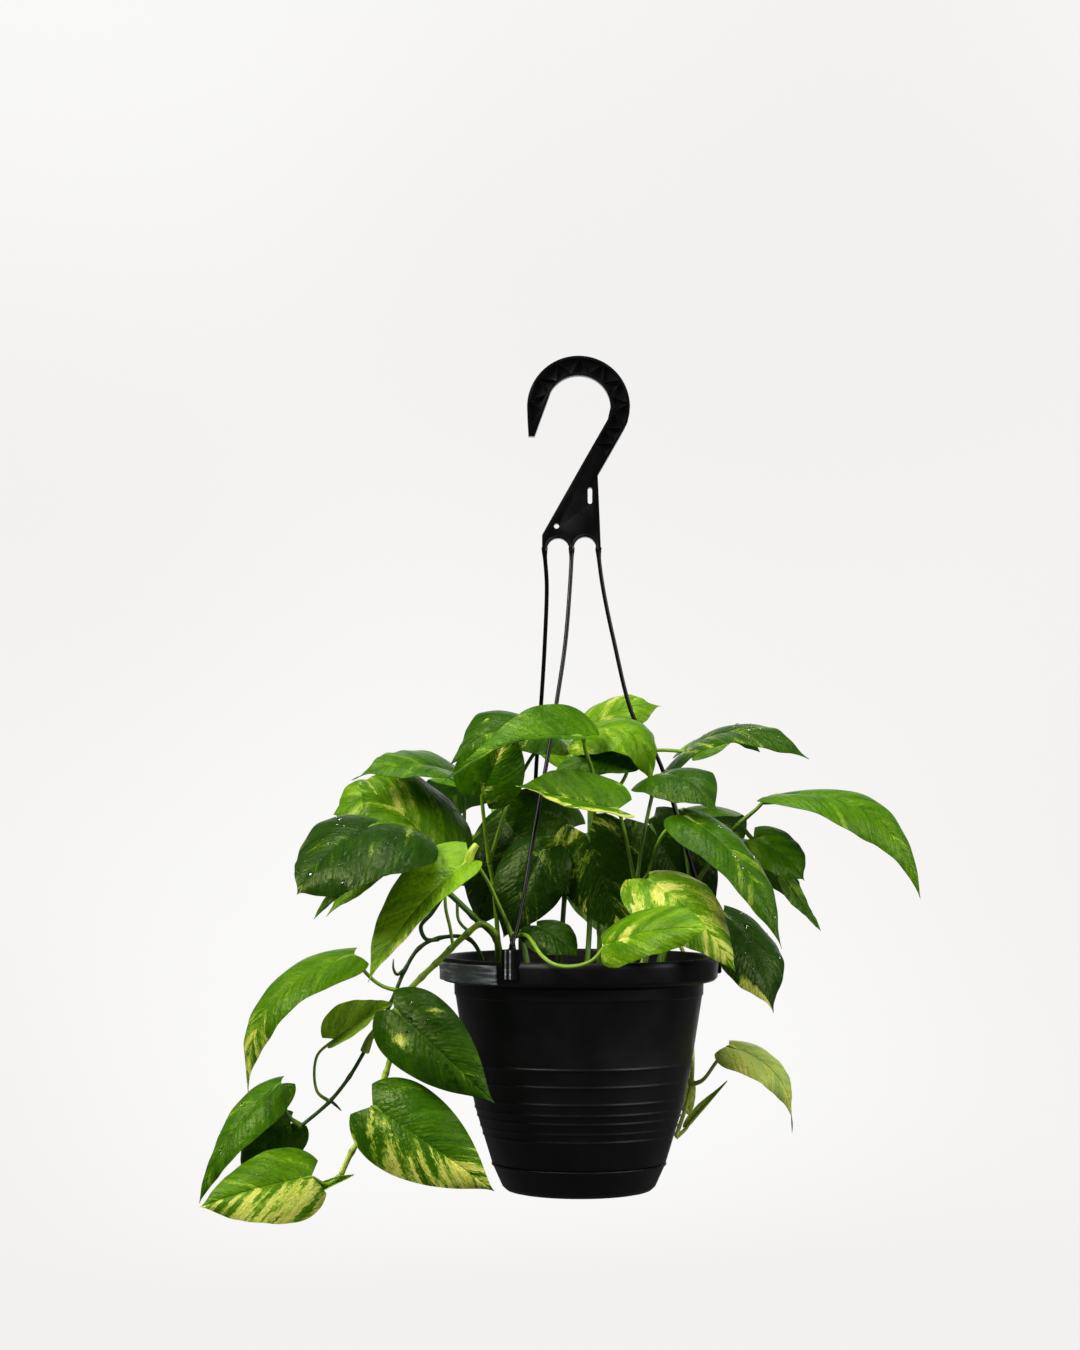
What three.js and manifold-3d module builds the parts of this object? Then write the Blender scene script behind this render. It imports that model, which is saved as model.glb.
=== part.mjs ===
// A Hawaiian pothos in a black plastic hanging basket, hung by a moulded hook.
// Millimetres, +Z up. The origin is the top of the hook's mouth, where the basket hangs.
// The front, with the fullest leaves, faces -Y.
import * as THREE from "three";
import { mergeVertices } from "three/addons/utils/BufferGeometryUtils.js";
import Module from "manifold-3d";

const wasm = await Module();
wasm.setup();

// Driving dimensions
const RIM_RADIUS = 100;
const RIM_TOP = -416.3; // below the hook's mouth
const SAUCER_BASE = -583;
const SEAM = -562.3; // where the saucer's lip meets the pot
const POT_WALL = 1.8;
const POT_FLOOR = -569;
const WALL_STATIONS = [[-562.3, 62], [-523.3, 74], [-489.6, 80.9], [-435, 89.5]]; // z, radius
const RIBS = [-542, -529, -515.4, -503.2]; // heights of the fine rings round the wall
const RIB = { rise: 0.5, below: 0.6, above: 0.8 };
const DRAINS = { count: 5, radius: 4, circle: 34, depth: 12, first: 18 }; // first in degrees
const ROUND_SEGMENTS = 36;

const SOIL_TOP = -432;
const SOIL_GAP = 0.5;
const SOIL_LUMP = 2.5;
const SOIL_LUMP_SPANS = [9, 11, 6]; // along x, along y and across both
const ROOT_DEPTH = 24;
const HOLE_CLEARANCE = 0.4;

const HOOK_INNER = 23;
const HOOK_OUTER = 37;
const HOOK_THICKNESS = 9;
const FLANGE = 2;
const POCKET_DEPTH = 3;
const POCKETS = { count: 12, first: 158, pitch: 14, halfFoot: 0.72 }; // degrees round the hook
const PLATE_BOTTOM = -126;
const PLATE_SLOT = { width: 3.2, height: 12, x: 8.2, z: -87 };
const PLATE_HOLE = { radius: 1.9, x: -15.8, z: -108.9 };
const STRAND_RADIUS = 1.3;
const STRAND_SIDES = 6;
const STRAND_GAP = 0.3;
const CLIP = { width: 5, thickness: 2.2, height: 17 };
const LUG = { radius: 97.8, width: 12.5, thickness: 7, top: -407.7, height: 21 };
const SOCKET_CLEARANCE = 0.4; // round a strand's clip in its lug
const LUG_ANGLES = { front: 242, back: 113, right: 0 }; // degrees from +X, counterclockwise from above

const BLADE_THICKNESS = 0.8;
const BLADE_ROWS = [0, 0.09, 0.25, 0.48, 0.75, 1];
const BLADE_COLUMNS = [-1, -0.55, 0, 0.55, 1];
const VEIN_LEAN = 45; // degrees between a side vein and the midrib at the tip
const LOBE = { span: 0.05, lean: 32, narrowing: 0.42 }; // how the blade rounds in at its base
const BLADE_SWELL = [0.94, 2.15]; // at the base, and its growth towards the tip
const RIPPLE = { height: 0.04, waves: 1.5, offset: 0.21 }; // height as a part of the width
const PETIOLE_ENDS = [[0, 0.9], [0.06, 0.3]]; // part of the midrib, and depth below it
const PETIOLE_SIDES = 4;
const PETIOLE_STEPS = 4;
const STEM_SIDES = 5;
const STEM_STEPS_PER_POINT = 1.3;

// What a leaf has where its own entry says nothing else
const USUAL_LEAF = {
  via: [], arch: 0, lobe: 60, taper: 1.3, fold: 16, curl: 30, twist: 0, uneven: 0, stalk: 1.5,
};
const EYE_DISTANCE = 2080; // from the viewer in front to the pot's axis
const EYE_HEIGHT = -303.9;

const radians = THREE.MathUtils.degToRad;

// A place named by where the viewer sees it on the plane through the pot's axis, moved
// along the line of sight to its own depth. Depth grows away from the viewer.
function seen([x, depth, z]) {
  const scale = (EYE_DISTANCE + depth) / EYE_DISTANCE;
  return new THREE.Vector3(x * scale, depth, EYE_HEIGHT + (z - EYE_HEIGHT) * scale);
}

// Solids
function solid(geometry) {
  const bare = geometry.clone();
  bare.deleteAttribute("normal");
  bare.deleteAttribute("uv");
  const merged = mergeVertices(bare, 1e-3);
  return new wasm.Manifold(
    new wasm.Mesh({
      numProp: 3,
      vertProperties: merged.attributes.position.array,
      triVerts: new Uint32Array(merged.index.array),
    }),
  );
}

function fuse(geometries) {
  return geometries.map(solid).reduce((all, next) => all.add(next));
}

function cut(body, geometries) {
  return geometries.map(solid).reduce((rest, tool) => rest.subtract(tool), body);
}

function geometryOf(manifold) {
  const mesh = manifold.getMesh();
  const geometry = new THREE.BufferGeometry();
  geometry.setAttribute("position", new THREE.BufferAttribute(mesh.vertProperties, 3));
  geometry.setIndex(new THREE.BufferAttribute(mesh.triVerts, 1));
  geometry.computeVertexNormals();
  return geometry;
}

function turned(profile) {
  const points = profile.map(([radius, z]) => new THREE.Vector2(radius, z));
  return new THREE.LatheGeometry(points, ROUND_SEGMENTS).rotateX(Math.PI / 2);
}

function polygon(sides, radius) {
  const corners = [];
  for (let i = 0; i < sides; i++) {
    const angle = (2 * Math.PI * i) / sides;
    corners.push(new THREE.Vector2(radius * Math.cos(angle), radius * Math.sin(angle)));
  }
  return new THREE.Shape(corners);
}

function tube(points, radius, sides, steps) {
  const path = new THREE.CatmullRomCurve3(points, false, "centripetal");
  const options = { steps, extrudePath: path, bevelEnabled: false };
  return new THREE.ExtrudeGeometry(polygon(sides, radius), options);
}

// Pot and saucer
function potShell() {
  const ribs = RIBS.flatMap((z) => [
    [wallRadius(z) + RIB.rise, z - RIB.below], [wallRadius(z), z + RIB.above],
  ]);
  const underside = [[0, -571], [51.5, -571], [54.5, -569.5], [58.9, -565], [59.2, SEAM], [62, SEAM]];
  const brim = [
    [89.5, -435], [96.5, -433.5], [99, -431], [RIM_RADIUS, -420], [98.8, -417],
    [97, RIM_TOP], [95.2, -417.5], [88.8, -430], [87.7, -435],
  ];
  const inside = [
    [wallRadius(-489.6) - POT_WALL, -489.6], [60, -562], [57, -564], [50.5, POT_FLOOR], [0, POT_FLOOR],
  ];
  return turned([...underside, ...ribs, ...brim, ...inside]);
}

// The wall flares in three straight stretches.
function wallRadius(z) {
  const next = WALL_STATIONS.findIndex(([height]) => height > z);
  const [z1, r1] = WALL_STATIONS[next];
  const [z0, r0] = WALL_STATIONS[next - 1];
  return r0 + ((r1 - r0) * (z - z0)) / (z1 - z0);
}

function atRim(angle, radius, z) {
  const turn = radians(angle);
  return new THREE.Vector3(radius * Math.cos(turn), radius * Math.sin(turn), z);
}

function rimBox(angle, thickness, width, height, top) {
  const box = new THREE.BoxGeometry(thickness, width, height);
  box.rotateZ(radians(angle));
  const centre = atRim(angle, LUG.radius, top - height / 2);
  return box.translate(centre.x, centre.y, centre.z);
}

function pot() {
  const angles = Object.values(LUG_ANGLES);
  const lugs = angles.map((angle) => rimBox(angle, LUG.thickness, LUG.width, LUG.height, LUG.top));
  const [deep, wide] = [CLIP.thickness, CLIP.width].map((size) => size + 2 * SOCKET_CLEARANCE);
  const sockets = angles.map((angle) => rimBox(angle, deep, wide, CLIP.height + 2, LUG.top + 1));
  const drains = [];
  for (let i = 0; i < DRAINS.count; i++) {
    const hole = new THREE.CylinderGeometry(DRAINS.radius, DRAINS.radius, DRAINS.depth, 8);
    const place = atRim((360 * i) / DRAINS.count + DRAINS.first, DRAINS.circle, POT_FLOOR);
    drains.push(hole.rotateX(Math.PI / 2).translate(place.x, place.y, place.z));
  }
  return geometryOf(cut(fuse([potShell(), ...lugs]), [...sockets, ...drains]));
}

function saucer() {
  return turned([
    [0, SAUCER_BASE], [47, SAUCER_BASE], [51.5, -582], [54.6, -579.2], [62, SEAM - 1.2],
    [61.8, SEAM - 0.3], [59.9, SEAM - 0.3], [59.5, -565.5], [57.2, -570], [52.6, -579.5],
    [50, -581.2], [0, -581.2],
  ]);
}

// Soil: it fills the pot up to a lumpy top, and every stem stands in a hole of its own shape.
function lump(x, y) {
  const [alongX, alongY, across] = SOIL_LUMP_SPANS;
  const large = Math.sin(x / alongX + 1) * Math.cos(y / alongY);
  return SOIL_LUMP * (large + 0.5 * Math.sin((x + y) / across));
}

function soil(stems) {
  const top = [86.4, 60, 32, 0].map((radius) => [radius, SOIL_TOP]);
  const geometry = turned([
    [0, POT_FLOOR + SOIL_GAP], [50, POT_FLOOR + SOIL_GAP], [56.4, -563.5], [59.3, -561.5],
    [wallRadius(-489.6) - POT_WALL - SOIL_GAP, -489.6], ...top,
  ]);
  const places = geometry.attributes.position;
  for (let i = 0; i < places.count; i++) {
    const x = places.getX(i);
    const y = places.getY(i);
    const onTop = places.getZ(i) > SOIL_TOP - 1 && Math.hypot(x, y) < 80;
    if (onTop) places.setZ(i, SOIL_TOP + lump(x, y));
  }
  return geometryOf(cut(solid(geometry), stems));
}

// Hanger: the hook and plate lie in the XZ plane, and the strands spread down to the lugs.
function hookOutline() {
  const shape = new THREE.Shape();
  shape.moveTo(-36, -44);
  shape.lineTo(-HOOK_OUTER, -HOOK_INNER);
  shape.absarc(0, -HOOK_INNER, HOOK_OUTER, Math.PI, 0, true);
  shape.lineTo(32.5, -39.5);
  shape.lineTo(13.8, -72.3);
  shape.lineTo(16, PLATE_BOTTOM);
  shape.lineTo(12.6, PLATE_BOTTOM);
  shape.absarc(4.6, PLATE_BOTTOM + 1.5, 8, 0, Math.PI, false);
  shape.lineTo(-3.4, PLATE_BOTTOM);
  shape.lineTo(-6.7, PLATE_BOTTOM);
  shape.absarc(-14.7, PLATE_BOTTOM + 0.5, 8, 0, Math.PI, false);
  shape.lineTo(-22.7, PLATE_BOTTOM);
  shape.lineTo(-26.2, PLATE_BOTTOM);
  shape.lineTo(-26.2, -115.3);
  shape.lineTo(5, -60);
  shape.lineTo(21, -32);
  shape.absarc(0, -HOOK_INNER, HOOK_INNER, 0, radians(150), false);
  shape.lineTo(-31.6, -44);
  shape.closePath();
  return shape;
}

// A flat piece of the given thickness, standing in the XZ plane with its middle at the given y.
function slab(shape, thickness, middle) {
  const options = { depth: thickness, bevelEnabled: false, curveSegments: 12 };
  const geometry = new THREE.ExtrudeGeometry(shape, options);
  return geometry.rotateX(Math.PI / 2).translate(0, middle + thickness / 2, 0);
}

// Triangular pockets between the two flanges leave a zigzag web on either face.
function pocketShapes() {
  const inner = HOOK_INNER + FLANGE;
  const outer = HOOK_OUTER - FLANGE;
  const along = (radius, step) => {
    const angle = radians(POCKETS.first - POCKETS.pitch * step);
    return new THREE.Vector2(radius * Math.cos(angle), -HOOK_INNER + radius * Math.sin(angle));
  };
  const shapes = [];
  for (let i = 0; i < POCKETS.count; i++) {
    const [tip, foot] = i % 2 ? [inner, outer] : [outer, inner];
    const half = POCKETS.halfFoot;
    shapes.push(new THREE.Shape([along(foot, i - half), along(tip, i), along(foot, i + half)]));
  }
  return shapes;
}

function hook() {
  const face = HOOK_THICKNESS / 2;
  const pockets = pocketShapes().flatMap((shape) =>
    [face, -face].map((y) => slab(shape, 2 * POCKET_DEPTH, y)));
  const through = 2 * HOOK_THICKNESS;
  const slot = new THREE.BoxGeometry(PLATE_SLOT.width, through, PLATE_SLOT.height);
  slot.translate(PLATE_SLOT.x, 0, PLATE_SLOT.z);
  const hole = new THREE.CylinderGeometry(PLATE_HOLE.radius, PLATE_HOLE.radius, through, 10);
  hole.translate(PLATE_HOLE.x, 0, PLATE_HOLE.z);
  const body = solid(slab(hookOutline(), HOOK_THICKNESS, 0));
  return geometryOf(cut(body, [...pockets, slot, hole]));
}

const strands = {
  back: [[-24.4, 0, -128], [-22.9, 8, -150], [-24.3, 20, -193], [-27.2, 37, -240], [-30, 48, -275],
    [-33, 68, -340], [-36, 85, -396]],
  front: [[-5, 0, -128], [-5.7, -4, -144], [-9.6, -20, -193], [-15.6, -33, -234], [-22.5, -46, -276],
    [-32, -61, -328], [-38.5, -73, -368], [-44.5, -82, -398]],
  right: [[14.3, 0, -128], [17, 0, -150], [24.8, -1, -189], [39.3, -2, -246], [50.8, -2, -264],
    [59.7, -2, -283], [72.6, -3, -325], [84.8, -2, -365], [93.5, -1, -395]],
};

function strand(name) {
  const angle = LUG_ANGLES[name];
  const clipTop = LUG.top + 1;
  const points = [
    new THREE.Vector3(strands[name][0][0], 0, PLATE_BOTTOM - STRAND_GAP),
    ...strands[name].map(seen),
    atRim(angle, LUG.radius, clipTop + 2),
    atRim(angle, LUG.radius, clipTop - 1),
  ];
  const cord = tube(points, STRAND_RADIUS, STRAND_SIDES, points.length + 3);
  const clip = rimBox(angle, CLIP.thickness, CLIP.width, CLIP.height, clipTop);
  return geometryOf(fuse([cord, clip]));
}

// Leaves. The blade is a heart: rows leave the midrib backwards at its base, where they make
// the two lobes, and lean forwards more and more towards its tip.
function frameAlong(leaf) {
  const base = seen(leaf.base);
  const tip = seen(leaf.tip);
  const chord = tip.clone().sub(base);
  const length = chord.length();
  const forward = chord.clone().normalize();
  const up = new THREE.Vector3(...leaf.face);
  up.addScaledVector(forward, -up.dot(forward)).normalize();
  const bend = base.clone().lerp(tip, 0.5).addScaledVector(up, 2 * leaf.arch);
  const midrib = new THREE.QuadraticBezierCurve3(base, bend, tip);
  return { midrib, up, length };
}

// The point at part s of the way along the midrib and part t of the way out to an edge, with
// the direction that the upper face looks in there.
function bladePoint(leaf, frame, s, t) {
  const ahead = frame.midrib.getTangent(s);
  const across = ahead.clone().cross(frame.up).normalize();
  const above = across.clone().cross(ahead);
  const twist = radians(leaf.twist * s);
  const sideways = across.clone().multiplyScalar(Math.cos(twist)).addScaledVector(above, Math.sin(twist));
  const normal = above.multiplyScalar(Math.cos(twist)).addScaledVector(across, -Math.sin(twist));

  const side = Math.sign(t);
  const near = Math.exp(-s / LOBE.span);
  const lean = radians(VEIN_LEAN + leaf.lobe * (1 - s) ** 1.6 + LOBE.lean * near);
  const swell = BLADE_SWELL[0] + BLADE_SWELL[1] * s;
  const rounding = (1 - LOBE.narrowing * near) * (1 + leaf.uneven * side);
  const out = Math.abs(t) * (leaf.width / 2) * (1 - s) ** leaf.taper * swell * rounding;
  const lift = radians(leaf.fold - leaf.curl * Math.abs(t));
  const wave = Math.sin(2 * Math.PI * (RIPPLE.waves * s + leaf.phase + RIPPLE.offset * side));
  const ripple = s < 1 ? leaf.width * RIPPLE.height * t * t * wave : 0;

  const point = frame.midrib.getPoint(s);
  point.addScaledVector(ahead, out * Math.cos(lean));
  point.addScaledVector(sideways, side * out * Math.sin(lean) * Math.cos(lift));
  point.addScaledVector(normal, out * Math.sin(lean) * Math.sin(lift) + ripple);
  const outward = normal.clone().multiplyScalar(Math.cos(lift));
  outward.addScaledVector(sideways, -side * Math.sin(lift));
  return { point, outward };
}

function blade(leaf) {
  const frame = frameAlong(leaf);
  const rows = BLADE_ROWS.length;
  const columns = BLADE_COLUMNS.length;
  const layer = (rows - 1) * columns + 1;
  const upper = [];
  const lower = [];
  BLADE_ROWS.forEach((s, row) => {
    const across = row === rows - 1 ? [0] : BLADE_COLUMNS;
    across.forEach((t) => {
      const { point, outward } = bladePoint(leaf, frame, s, t);
      upper.push(...point.toArray());
      lower.push(...point.addScaledVector(outward, -BLADE_THICKNESS).toArray());
    });
  });

  const at = (row, column) => (row === rows - 1 ? layer - 1 : row * columns + column);
  const faces = [];
  const add = (a, b, c) => {
    if (a !== b && b !== c && c !== a) faces.push(a, b, c);
  };
  const both = (a, b, c) => {
    add(a, b, c);
    if (a !== b && b !== c && c !== a) faces.push(c + layer, b + layer, a + layer);
  };
  for (let row = 0; row < rows - 1; row++) {
    for (let column = 0; column < columns - 1; column++) {
      const [a, b] = [at(row, column), at(row, column + 1)];
      const [c, d] = [at(row + 1, column + 1), at(row + 1, column)];
      if (column < (columns - 1) / 2) {
        both(a, b, d);
        both(b, c, d);
      } else {
        both(a, b, c);
        both(a, c, d);
      }
    }
  }
  const wall = (a, b) => {
    add(a, a + layer, b + layer);
    add(a, b + layer, b);
  };
  for (let column = 0; column < columns - 1; column++) wall(at(0, column), at(0, column + 1));
  for (let row = 0; row < rows - 1; row++) {
    wall(at(row + 1, 0), at(row, 0));
    wall(at(row, columns - 1), at(row + 1, columns - 1));
  }

  const geometry = new THREE.BufferGeometry();
  geometry.setAttribute("position", new THREE.Float32BufferAttribute([...upper, ...lower], 3));
  geometry.setIndex(faces);
  return geometry;
}

// A petiole runs from its node on the stem, through any points on its way, into the blade's base.
function petiole(vine, leaf) {
  const { midrib, up } = frameAlong(leaf);
  const under = (s, drop) => midrib.getPoint(s).addScaledVector(up, -drop);
  const way = [vine.stem[leaf.node], ...leaf.via].map(seen);
  const points = [...way, ...PETIOLE_ENDS.map(([s, drop]) => under(s, drop))];
  return tube(points, leaf.stalk, PETIOLE_SIDES, Math.min(points.length, PETIOLE_STEPS));
}

function stemPoints(vine) {
  const [x, depth] = vine.root;
  const buried = seen([x, depth, SOIL_TOP]);
  const roots = [buried.clone().setZ(SOIL_TOP - ROOT_DEPTH), buried.clone().setZ(SOIL_TOP + 3)];
  return [...roots, ...vine.stem.map(seen)];
}

function stem(vine, extra = 0) {
  const points = stemPoints(vine);
  const steps = Math.ceil(STEM_STEPS_PER_POINT * points.length);
  return tube(points, vine.radius + extra, STEM_SIDES, steps);
}

function leafyVine(vine) {
  const leaves = vine.leaves.flatMap((leaf) => [blade(leaf), petiole(vine, leaf)]);
  return geometryOf(fuse([stem(vine), ...leaves]));
}

// Every place is [x, depth, z] as seen() takes it. A leaf leaves its stem at the stem's point
// number `node`, passes the points of `via`, and lies from `base` to `tip` with its upper side
// towards `face`. Width, arch and the petiole's radius `stalk` are in millimetres. In degrees are
// `lobe`, how far the base's veins sweep back, `fold`, how far the halves rise from the midrib,
// `curl`, how far their edges then drop, and `twist`, the tip's turn. A larger `taper` gives a
// narrower tip, and `uneven` is the part of the width that goes from one half to the other.
const vines = [
  {
    name: "vine_trailing_left", radius: 2.2, root: [-58, -50],
    stem: [[-60, -57, -401], [-70, -63, -394], [-80, -64, -401], [-92, -61, -412], [-102, -60, -422],
      [-112, -60, -431.5], [-122, -60, -443], [-127, -62, -462], [-132, -63, -480], [-138, -64, -501],
      [-151, -66, -538], [-162, -68, -556], [-170, -70, -573]],
    leaves: [
      { node: 6, via: [[-141, -58, -438], [-153, -56, -428]], base: [-161, -54, -416.5],
        tip: [-236, -62, -519], face: [-0.55, -0.62, 0.56], width: 49, arch: 33, lobe: 50,
        uneven: 0.12 },
      { node: 7, base: [-132, -74, -455], tip: [-60, -98, -521.5], face: [-0.2, -0.9, 0.35], width: 56,
        arch: 8, lobe: 64 },
      { node: 10, base: [-147, -84, -524], tip: [-60, -98, -584], face: [-0.1, -0.95, 0.3], width: 64,
        arch: 8, lobe: 55 },
      { node: 12, via: [[-180, -72, -579]], base: [-191, -80, -574], tip: [-271, -96, -596],
        face: [-0.2, -0.9, 0.4], width: 56, arch: 6, lobe: 50 },
      { node: 12, base: [-184, -68, -583], tip: [-160, -70, -572], face: [0, -0.9, 0.4], width: 13,
        fold: 65, curl: 0, stalk: 1.2 },
    ],
  },
  {
    name: "vine_trailing_left_thin", radius: 1.5, root: [-66, -22],
    stem: [[-78, -26, -405], [-100, -30, -404], [-114, -32, -411], [-124, -34, -426],
      [-135, -38, -451.6], [-150, -42, -479], [-164, -45, -503], [-178, -46, -520.5],
      [-198, -46, -537.7]],
    leaves: [
      { node: 7, via: [[-187, -50, -513], [-187, -52, -488]], base: [-175, -52, -476],
        tip: [-132, -46, -450], face: [-0.3, -0.7, 0.65], width: 34, arch: 3, lobe: 55, fold: 32,
        curl: 5, stalk: 1.1 },
      { node: 8, via: [[-208, -45, -530]], base: [-213, -40, -508], tip: [-271, -50, -593],
        face: [-0.6, -0.75, 0.3], width: 37, arch: 12 },
      { node: 8, base: [-206, -32, -537], tip: [-243, -34, -575], face: [-0.2, -0.9, 0.4], width: 42,
        arch: 5, stalk: 1.2 },
    ],
  },
  {
    name: "stem_front", radius: 1.9, root: [-44, -54],
    stem: [[-46, -62, -416], [-48, -68, -403]],
    leaves: [
      { node: 1, via: [[-51, -72, -394], [-57, -78, -381], [-65, -86, -364], [-73, -92, -352]],
        base: [-78, -96, -348.4], tip: [-151, -130, -436], face: [-0.4, -0.78, 0.48], width: 45,
        arch: 11, lobe: 50, fold: 14, curl: 8, uneven: 0.32 },
      { node: 1, via: [[-38, -80, -402], [-33, -94, -407], [-26, -105, -417], [-17, -110, -423],
        [-3, -113, -424], [9.5, -114, -420]], base: [18, -115, -410], tip: [91, -148, -397],
        face: [0.05, -0.8, 0.6], width: 45, arch: 7, lobe: 40, taper: 1, uneven: -0.16 },
    ],
  },
  {
    name: "stem_left", radius: 2.3, root: [-56, -38],
    stem: [[-59, -44, -405], [-75, -50, -389], [-94, -56, -371], [-112, -60, -356], [-124, -62, -345]],
    leaves: [
      { node: 3, base: [-104, -40, -338], tip: [-160, -32, -292], face: [0.5, -0.72, 0.48], width: 78,
        arch: 5, lobe: 66, fold: 20, uneven: 0.3 },
      { node: 4, via: [[-133, -76, -332]], base: [-146, -94, -323], tip: [-202, -144, -373],
        face: [-0.3, -0.72, 0.62], width: 90, arch: 10, lobe: 72, fold: 20, uneven: -0.24 },
      { node: 4, via: [[-138, -40, -334]], base: [-136, -12, -302], tip: [-176, -12, -316],
        face: [-0.3, -0.75, 0.6], width: 48, arch: 6 },
      { node: 2, via: [[-86, -20, -350], [-82, 10, -312]], base: [-86, -4, -288],
        tip: [-163, -56, -291], face: [0.05, -0.5, 0.86], width: 64, arch: 11, taper: 1.7, fold: 20,
        curl: 20 },
      { node: 4, base: [-148, -84, -351], tip: [-190, -106, -391], face: [-0.3, -0.7, 0.6], width: 19,
        arch: 6, lobe: 45 },
      { node: 3, base: [-142, -66, -352], tip: [-181, -76, -389], face: [-0.4, -0.7, 0.55], width: 21,
        arch: 4, lobe: 45 },
    ],
  },
  {
    name: "stem_upper_left", radius: 1.8, root: [-58, -6],
    stem: [[-58, -12, -404], [-61, -20, -367], [-64, -26, -350]],
    leaves: [
      { node: 2, via: [[-67, -38, -327]], base: [-69, -52, -300], tip: [-50, -56, -254],
        face: [0.2, -0.95, 0.1], width: 50, arch: 4 },
      { node: 2, via: [[-52, -28, -312], [-34, -4, -275]], base: [-20, 4, -257], tip: [-92, -44, -280],
        face: [-0.2, -0.66, 0.72], width: 64, arch: 19 },
      { node: 1, via: [[-40, -10, -345], [-18, -6, -335]], base: [-4, -6, -325], tip: [-60, -16, -308],
        face: [-0.1, -0.8, 0.6], width: 54, arch: 6 },
    ],
  },
  {
    name: "stem_centre", radius: 2, root: [14, -30],
    stem: [[15, -32, -400], [14, -30, -360], [12, -30, -330]],
    leaves: [
      { node: 2, via: [[11, -50, -304], [10, -62, -286], [5, -72, -270]], base: [2.4, -77, -260],
        tip: [-99, -110, -294], face: [0.05, -0.5, 0.86], width: 46, arch: 14, lobe: 84, taper: 2.2,
        fold: 28, curl: 6, uneven: 0.42 },
      { node: 2, via: [[8, -26, -300], [3, -22, -275]], base: [4, -22, -257], tip: [53, -32, -296],
        face: [0.2, -0.55, 0.8], width: 56, arch: 26 },
      { node: 2, via: [[24, -24, -304], [34, -20, -287]], base: [37, -27, -271], tip: [-22, -56, -290],
        face: [0, -0.62, 0.78], width: 38, arch: 5, lobe: 45 },
      { node: 2, via: [[10, -6, -300], [2, 6, -270]], base: [6, 14, -254], tip: [59, 20, -238],
        face: [0, -0.7, 0.7], width: 44, arch: 8 },
    ],
  },
  {
    name: "stem_centre_right", radius: 2.1, root: [38, -52],
    stem: [[40, -56, -400], [41, -58, -368]],
    leaves: [
      { node: 1, via: [[37, -64, -349], [32, -72, -325]], base: [28, -80, -312], tip: [-45, -104, -295],
        face: [0.05, -0.64, 0.77], width: 49, arch: 0, fold: 30, curl: 6 },
      { node: 1, via: [[44, -54, -345], [49, -48, -318], [53, -44, -300]], base: [55, -44, -288],
        tip: [99, -92, -315], face: [0.1, -0.62, 0.78], width: 54, arch: 12 },
      { node: 1, via: [[49, -64, -359], [55, -70, -341], [61, -74, -329]], base: [76, -78, -317],
        tip: [145, -118, -411.5], face: [0.5, -0.68, 0.55], width: 48, arch: 16, fold: 20 },
    ],
  },
  {
    name: "stem_right_front", radius: 2, root: [60, -38],
    stem: [[64, -46, -408], [68, -54, -392]],
    leaves: [
      { node: 1, via: [[58, -68, -378]], base: [50, -84, -362], tip: [112, -120, -428],
        face: [0.2, -0.75, 0.6], width: 60, arch: 10 },
      { node: 1, via: [[86, -52, -386]], base: [103, -52, -386], tip: [139, -84, -457],
        face: [0.55, -0.8, 0.25], width: 62, arch: 10 },
    ],
  },
  {
    name: "stem_right", radius: 2, root: [56, 8],
    stem: [[62, 14, -405], [80, 18, -372], [100, 8, -340], [115, -2, -322]],
    leaves: [
      { node: 1, via: [[76, 29, -340], [68, 37, -305]], base: [63, 38, -286], tip: [165, -18, -276],
        face: [0.08, -0.42, 0.9], width: 70, arch: 26, lobe: 74, fold: 14, curl: 20 },
      { node: 3, via: [[127, -6, -312]], base: [136.5, -10, -303], tip: [244, -26, -376],
        face: [0.35, -0.12, 0.93], width: 54, arch: 30, lobe: 45, twist: -72 },
      { node: 3, base: [125, 4, -333], tip: [161.5, -8, -363], face: [0.4, -0.8, 0.4], width: 44,
        arch: 6, lobe: 45, fold: 25 },
      { node: 2, via: [[118, 22, -345]], base: [146, 26, -361], tip: [173, 24, -398.5],
        face: [0.6, -0.6, 0.5], width: 20, lobe: 45, fold: 30, stalk: 1.2 },
    ],
  },
  {
    name: "stem_inner", radius: 1.9, root: [-14, -44],
    stem: [[-12, -44, -400], [-10, -42, -372], [-8, -38, -348]],
    leaves: [
      { node: 2, base: [6, -48, -330], tip: [31, -49, -402], face: [0, -1, 0.1], width: 60, arch: 2,
        fold: 4, curl: 10 },
      { node: 2, base: [-26, -52, -342], tip: [-54, -60, -404], face: [-0.1, -0.95, 0.25], width: 52,
        arch: 4 },
      { node: 0, via: [[-21, -60, -397]], base: [-30, -68, -395], tip: [-1, -86, -417],
        face: [0, -0.6, 0.8], width: 36, arch: 3, stalk: 1.2 },
    ],
  },
  {
    name: "vine_trailing_right", radius: 1.7, root: [44, 58],
    stem: [[54, 66, -408], [66, 76, -402], [77, 84, -420], [80, 66, -460], [80, 50, -508],
      [69, 48, -546]],
    leaves: [
      { node: 4, via: [[88, 46, -505], [98, 42, -492]], base: [107, 40, -481], tip: [152, 34, -542],
        face: [0.3, -0.7, 0.65], width: 42, arch: 23, lobe: 50, taper: 1.9 },
      { node: 4, via: [[74, 60, -500]], base: [68, 64, -499], tip: [79, 62, -531],
        face: [0.3, -0.9, 0.2], width: 26, arch: 4, stalk: 1.2 },
      { node: 5, base: [77, 48, -538], tip: [106, 44, -505], face: [-0.5, -0.8, 0.2], width: 12,
        fold: 65, curl: 0, stalk: 1.2 },
    ],
  },
  {
    name: "stem_back_left", radius: 2.2, root: [-36, 34],
    stem: [[-44, 44, -392], [-54, 56, -350], [-60, 64, -318]],
    leaves: [
      { node: 1, via: [[-68, 64, -335]], base: [-84, 70, -328], tip: [-160, 116, -368],
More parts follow.
